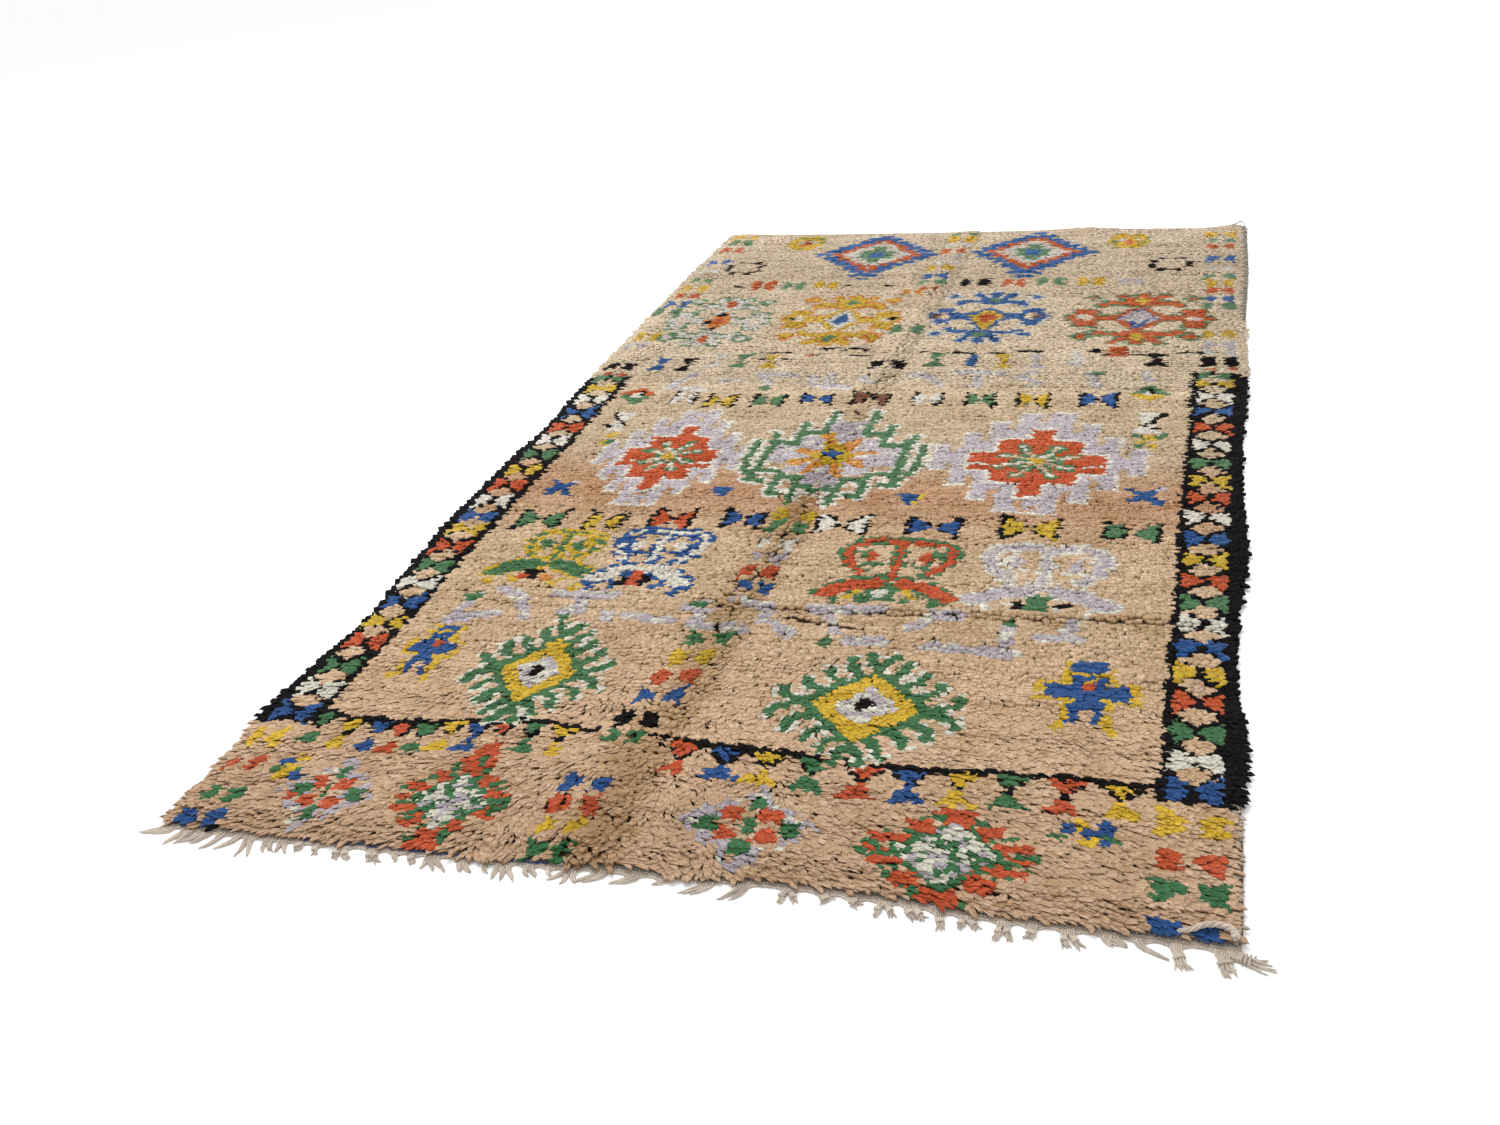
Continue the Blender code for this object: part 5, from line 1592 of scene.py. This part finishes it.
# %% Lay the cords
Stop = namedtuple("Stop", "x y lift")
CORNER_CORD = (
    Stop(1.541, 0.004, 0.000), Stop(1.538, 0.016, 0.000), Stop(1.524, 0.023, 0.001),
    Stop(1.506, 0.019, 0.001), Stop(1.490, 0.011, 0.000), Stop(1.474, 0.007, 0.000),
)
FAR_TUFT = (
    Stop(1.512, 2.982, 0.000), Stop(1.522, 2.990, 0.004), Stop(1.532, 2.996, 0.009),
    Stop(1.542, 2.994, 0.007), Stop(1.546, 2.984, 0.000),
)
CORD_STEPS = 40
CORD_PLIES = 3


def smooth_line(stops, count):
    """A smooth line of places through the stops of a cord."""
    table = np.array(stops)
    travelled = np.linspace(0, len(table) - 1, count)
    first = np.minimum(travelled.astype(int), len(table) - 2)
    share = (travelled - first)[:, None]
    before, start = table[np.maximum(first - 1, 0)], table[first]
    end, after = table[first + 1], table[np.minimum(first + 2, len(table) - 1)]
    place = 2 * start + (end - before) * share
    place = place + (2 * before - 5 * start + 4 * end - after) * share ** 2
    place = place + (3 * start - before - 3 * end + after) * share ** 3
    return 0.5 * place


def plied_cord(name, stops, width, turns):
    """A cord of three plies over the pile, which twist around each other and thin out to its far end."""
    line = smooth_line(stops, CORD_STEPS)
    radius = width * np.linspace(1.25, 0.65, CORD_STEPS)
    line[:, 2] += pile_height(line[:, 0], line[:, 1]) + radius
    ahead, aside, upwards = headings(line)
    plies = []
    for number in range(CORD_PLIES):
        turn = math.tau * (turns * np.linspace(0, 1, CORD_STEPS) + number / CORD_PLIES)
        around = aside * np.cos(turn)[:, None] + upwards * np.sin(turn)[:, None]
        plies.append(Yarn(line + 0.5 * radius[:, None] * around - np.array(MIDDLE), 0.52 * radius, 8))
    return spin(name, plies, cotton)


corner_cord = plied_cord("corner_bundle", CORNER_CORD, 0.0046, 3)
far_loop = plied_cord("far_loop", FAR_TUFT, 0.0022, 4)

# %% Roll the far edge
ROLL_RADIUS = 0.0032
ROLL_OUT, ROLL_WANDER = 0.0015, 0.0012
ROLL_LIFT, ROLL_RISE = 0.0022, 0.0010
roll_x = np.arange(0.004, WIDTH - 0.002, 0.006)
roll_y = read_table(SHORT_EDGES, roll_x, "far") + ROLL_OUT + ROLL_WANDER * wander(roll_x, roll_x, 0.04, 2.7)
roll_z = ROLL_RADIUS + ROLL_LIFT + ROLL_RISE * wander(roll_x, roll_x, 0.05, 8.8)
roll = Yarn(all_in_frame(roll_x, roll_y, roll_z), ROLL_RADIUS, 8)
far_roll = spin("far_roll", [roll], edge_wool)

# %% [markdown]
# ## The foundation
# The woven cloth that the knots sit on is one thin closed sheet. It shows only in the open slit and deep
# between the locks, so its cotton is coloured a dull dark brown there, a painted shade like that at the
# roots of the wool.

# %% Weave the foundation
SHEET_COLUMNS, SHEET_ROWS = 30, 60
SHEET_BOTTOM = 0.0006


def slab_faces(columns, rows):
    """The faces of a closed slab: a grid of corners for its top, and the same grid for its underside."""
    index = np.arange((rows + 1) * (columns + 1)).reshape(rows + 1, columns + 1)
    quads = np.stack([index[:-1, :-1], index[:-1, 1:], index[1:, 1:], index[1:, :-1]], -1).reshape(-1, 4)
    rim = np.concatenate([index[0, :], index[1:, -1], index[-1, -2::-1], index[-2:0:-1, 0]])
    after = np.roll(rim, -1)
    walls = np.stack([rim, rim + index.size, after + index.size, after], 1)
    return [*quads, *(quads[:, ::-1] + index.size), *walls]


def sheet_places(columns, rows):
    """Plan places of the cloth's grid, row by row."""
    grids = np.meshgrid(np.linspace(0, 1, columns + 1), np.linspace(0, 1, rows + 1))
    share_x, share_y = (grid.ravel() for grid in grids)
    left = read_table(SIDE_EDGES, share_y * LENGTH, "left")
    right = read_table(SIDE_EDGES, share_y * LENGTH, "right")
    x = left + (right - left) * share_x
    near, far = read_table(SHORT_EDGES, x, "near") + WEB_INSIDE, read_table(SHORT_EDGES, x, "far")
    return x, near + (far - near) * share_y


sheet_x, sheet_y = sheet_places(SHEET_COLUMNS, SHEET_ROWS)
corners = [all_in_frame(sheet_x, sheet_y, z) for z in (FOUNDATION_TOP, SHEET_BOTTOM)]
slab = slab_faces(SHEET_COLUMNS, SHEET_ROWS)
foundation = mesh_from("foundation", np.concatenate(corners), slab, False)

THREAD_WANDER, THREAD_DEPTH = 0.6, 0.0008

weave, tree, shader = new_material("foundation_in_painted_shade")
place = add_node(tree, "TexCoord").outputs["Object"]
threads = []
for way, scale in (("X", 75.0), ("Y", 110.0)):
    wires = [("Vector", place), ("Scale", scale), ("Distortion", THREAD_WANDER)]
    threads.append(add_node(tree, "TexWave", wires, bands_direction=way).outputs["Fac"])
crossed = multiplied(tree, *threads)
ramp = add_node(tree, "ValToRGB", [("Fac", crossed)])
# Dark browns of painted shade on the pale cotton, where it lies deep under the locks.
ramp.color_ramp.elements[0].color = linear((96, 72, 54))
ramp.color_ramp.elements[1].color = linear((156, 124, 98))
patchy = remap(tree, speckle(tree, place, 20.0, 5.0), 0.8, 1.15, 0.3, 0.7)
aged = add_node(tree, "HueSaturation", [("Color", ramp.outputs["Color"]), ("Value", patchy)])
bump = add_node(tree, "Bump", [("Height", crossed), ("Distance", THREAD_DEPTH)])
tree.links.new(aged.outputs[0], shader.inputs["Base Color"])
tree.links.new(bump.outputs["Normal"], shader.inputs["Normal"])
shader.inputs["Roughness"].default_value = 0.95
foundation.data.materials.append(weave)
print("Foundation has", len(foundation.data.polygons), "faces")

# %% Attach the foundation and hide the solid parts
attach(foundation, "root")
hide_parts("rug_body")
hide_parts("near_fringe")
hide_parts("corner_cord")
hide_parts("far_tuft")
on_the_cloth = [*locks, web, blue_line, fringe, corner_cord, far_loop, far_roll]

# %% Count and finish
every_piece = [foundation, *on_the_cloth]
for piece in every_piece:
    piece.data.calc_loop_triangles()
counts = {piece.name: len(piece.data.loop_triangles) for piece in every_piece}
print("Triangles:", sum(counts.values()), counts)
low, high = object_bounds()
print("Whole rug from", [round(v, 4) for v in low], "to", [round(v, 4) for v in high])
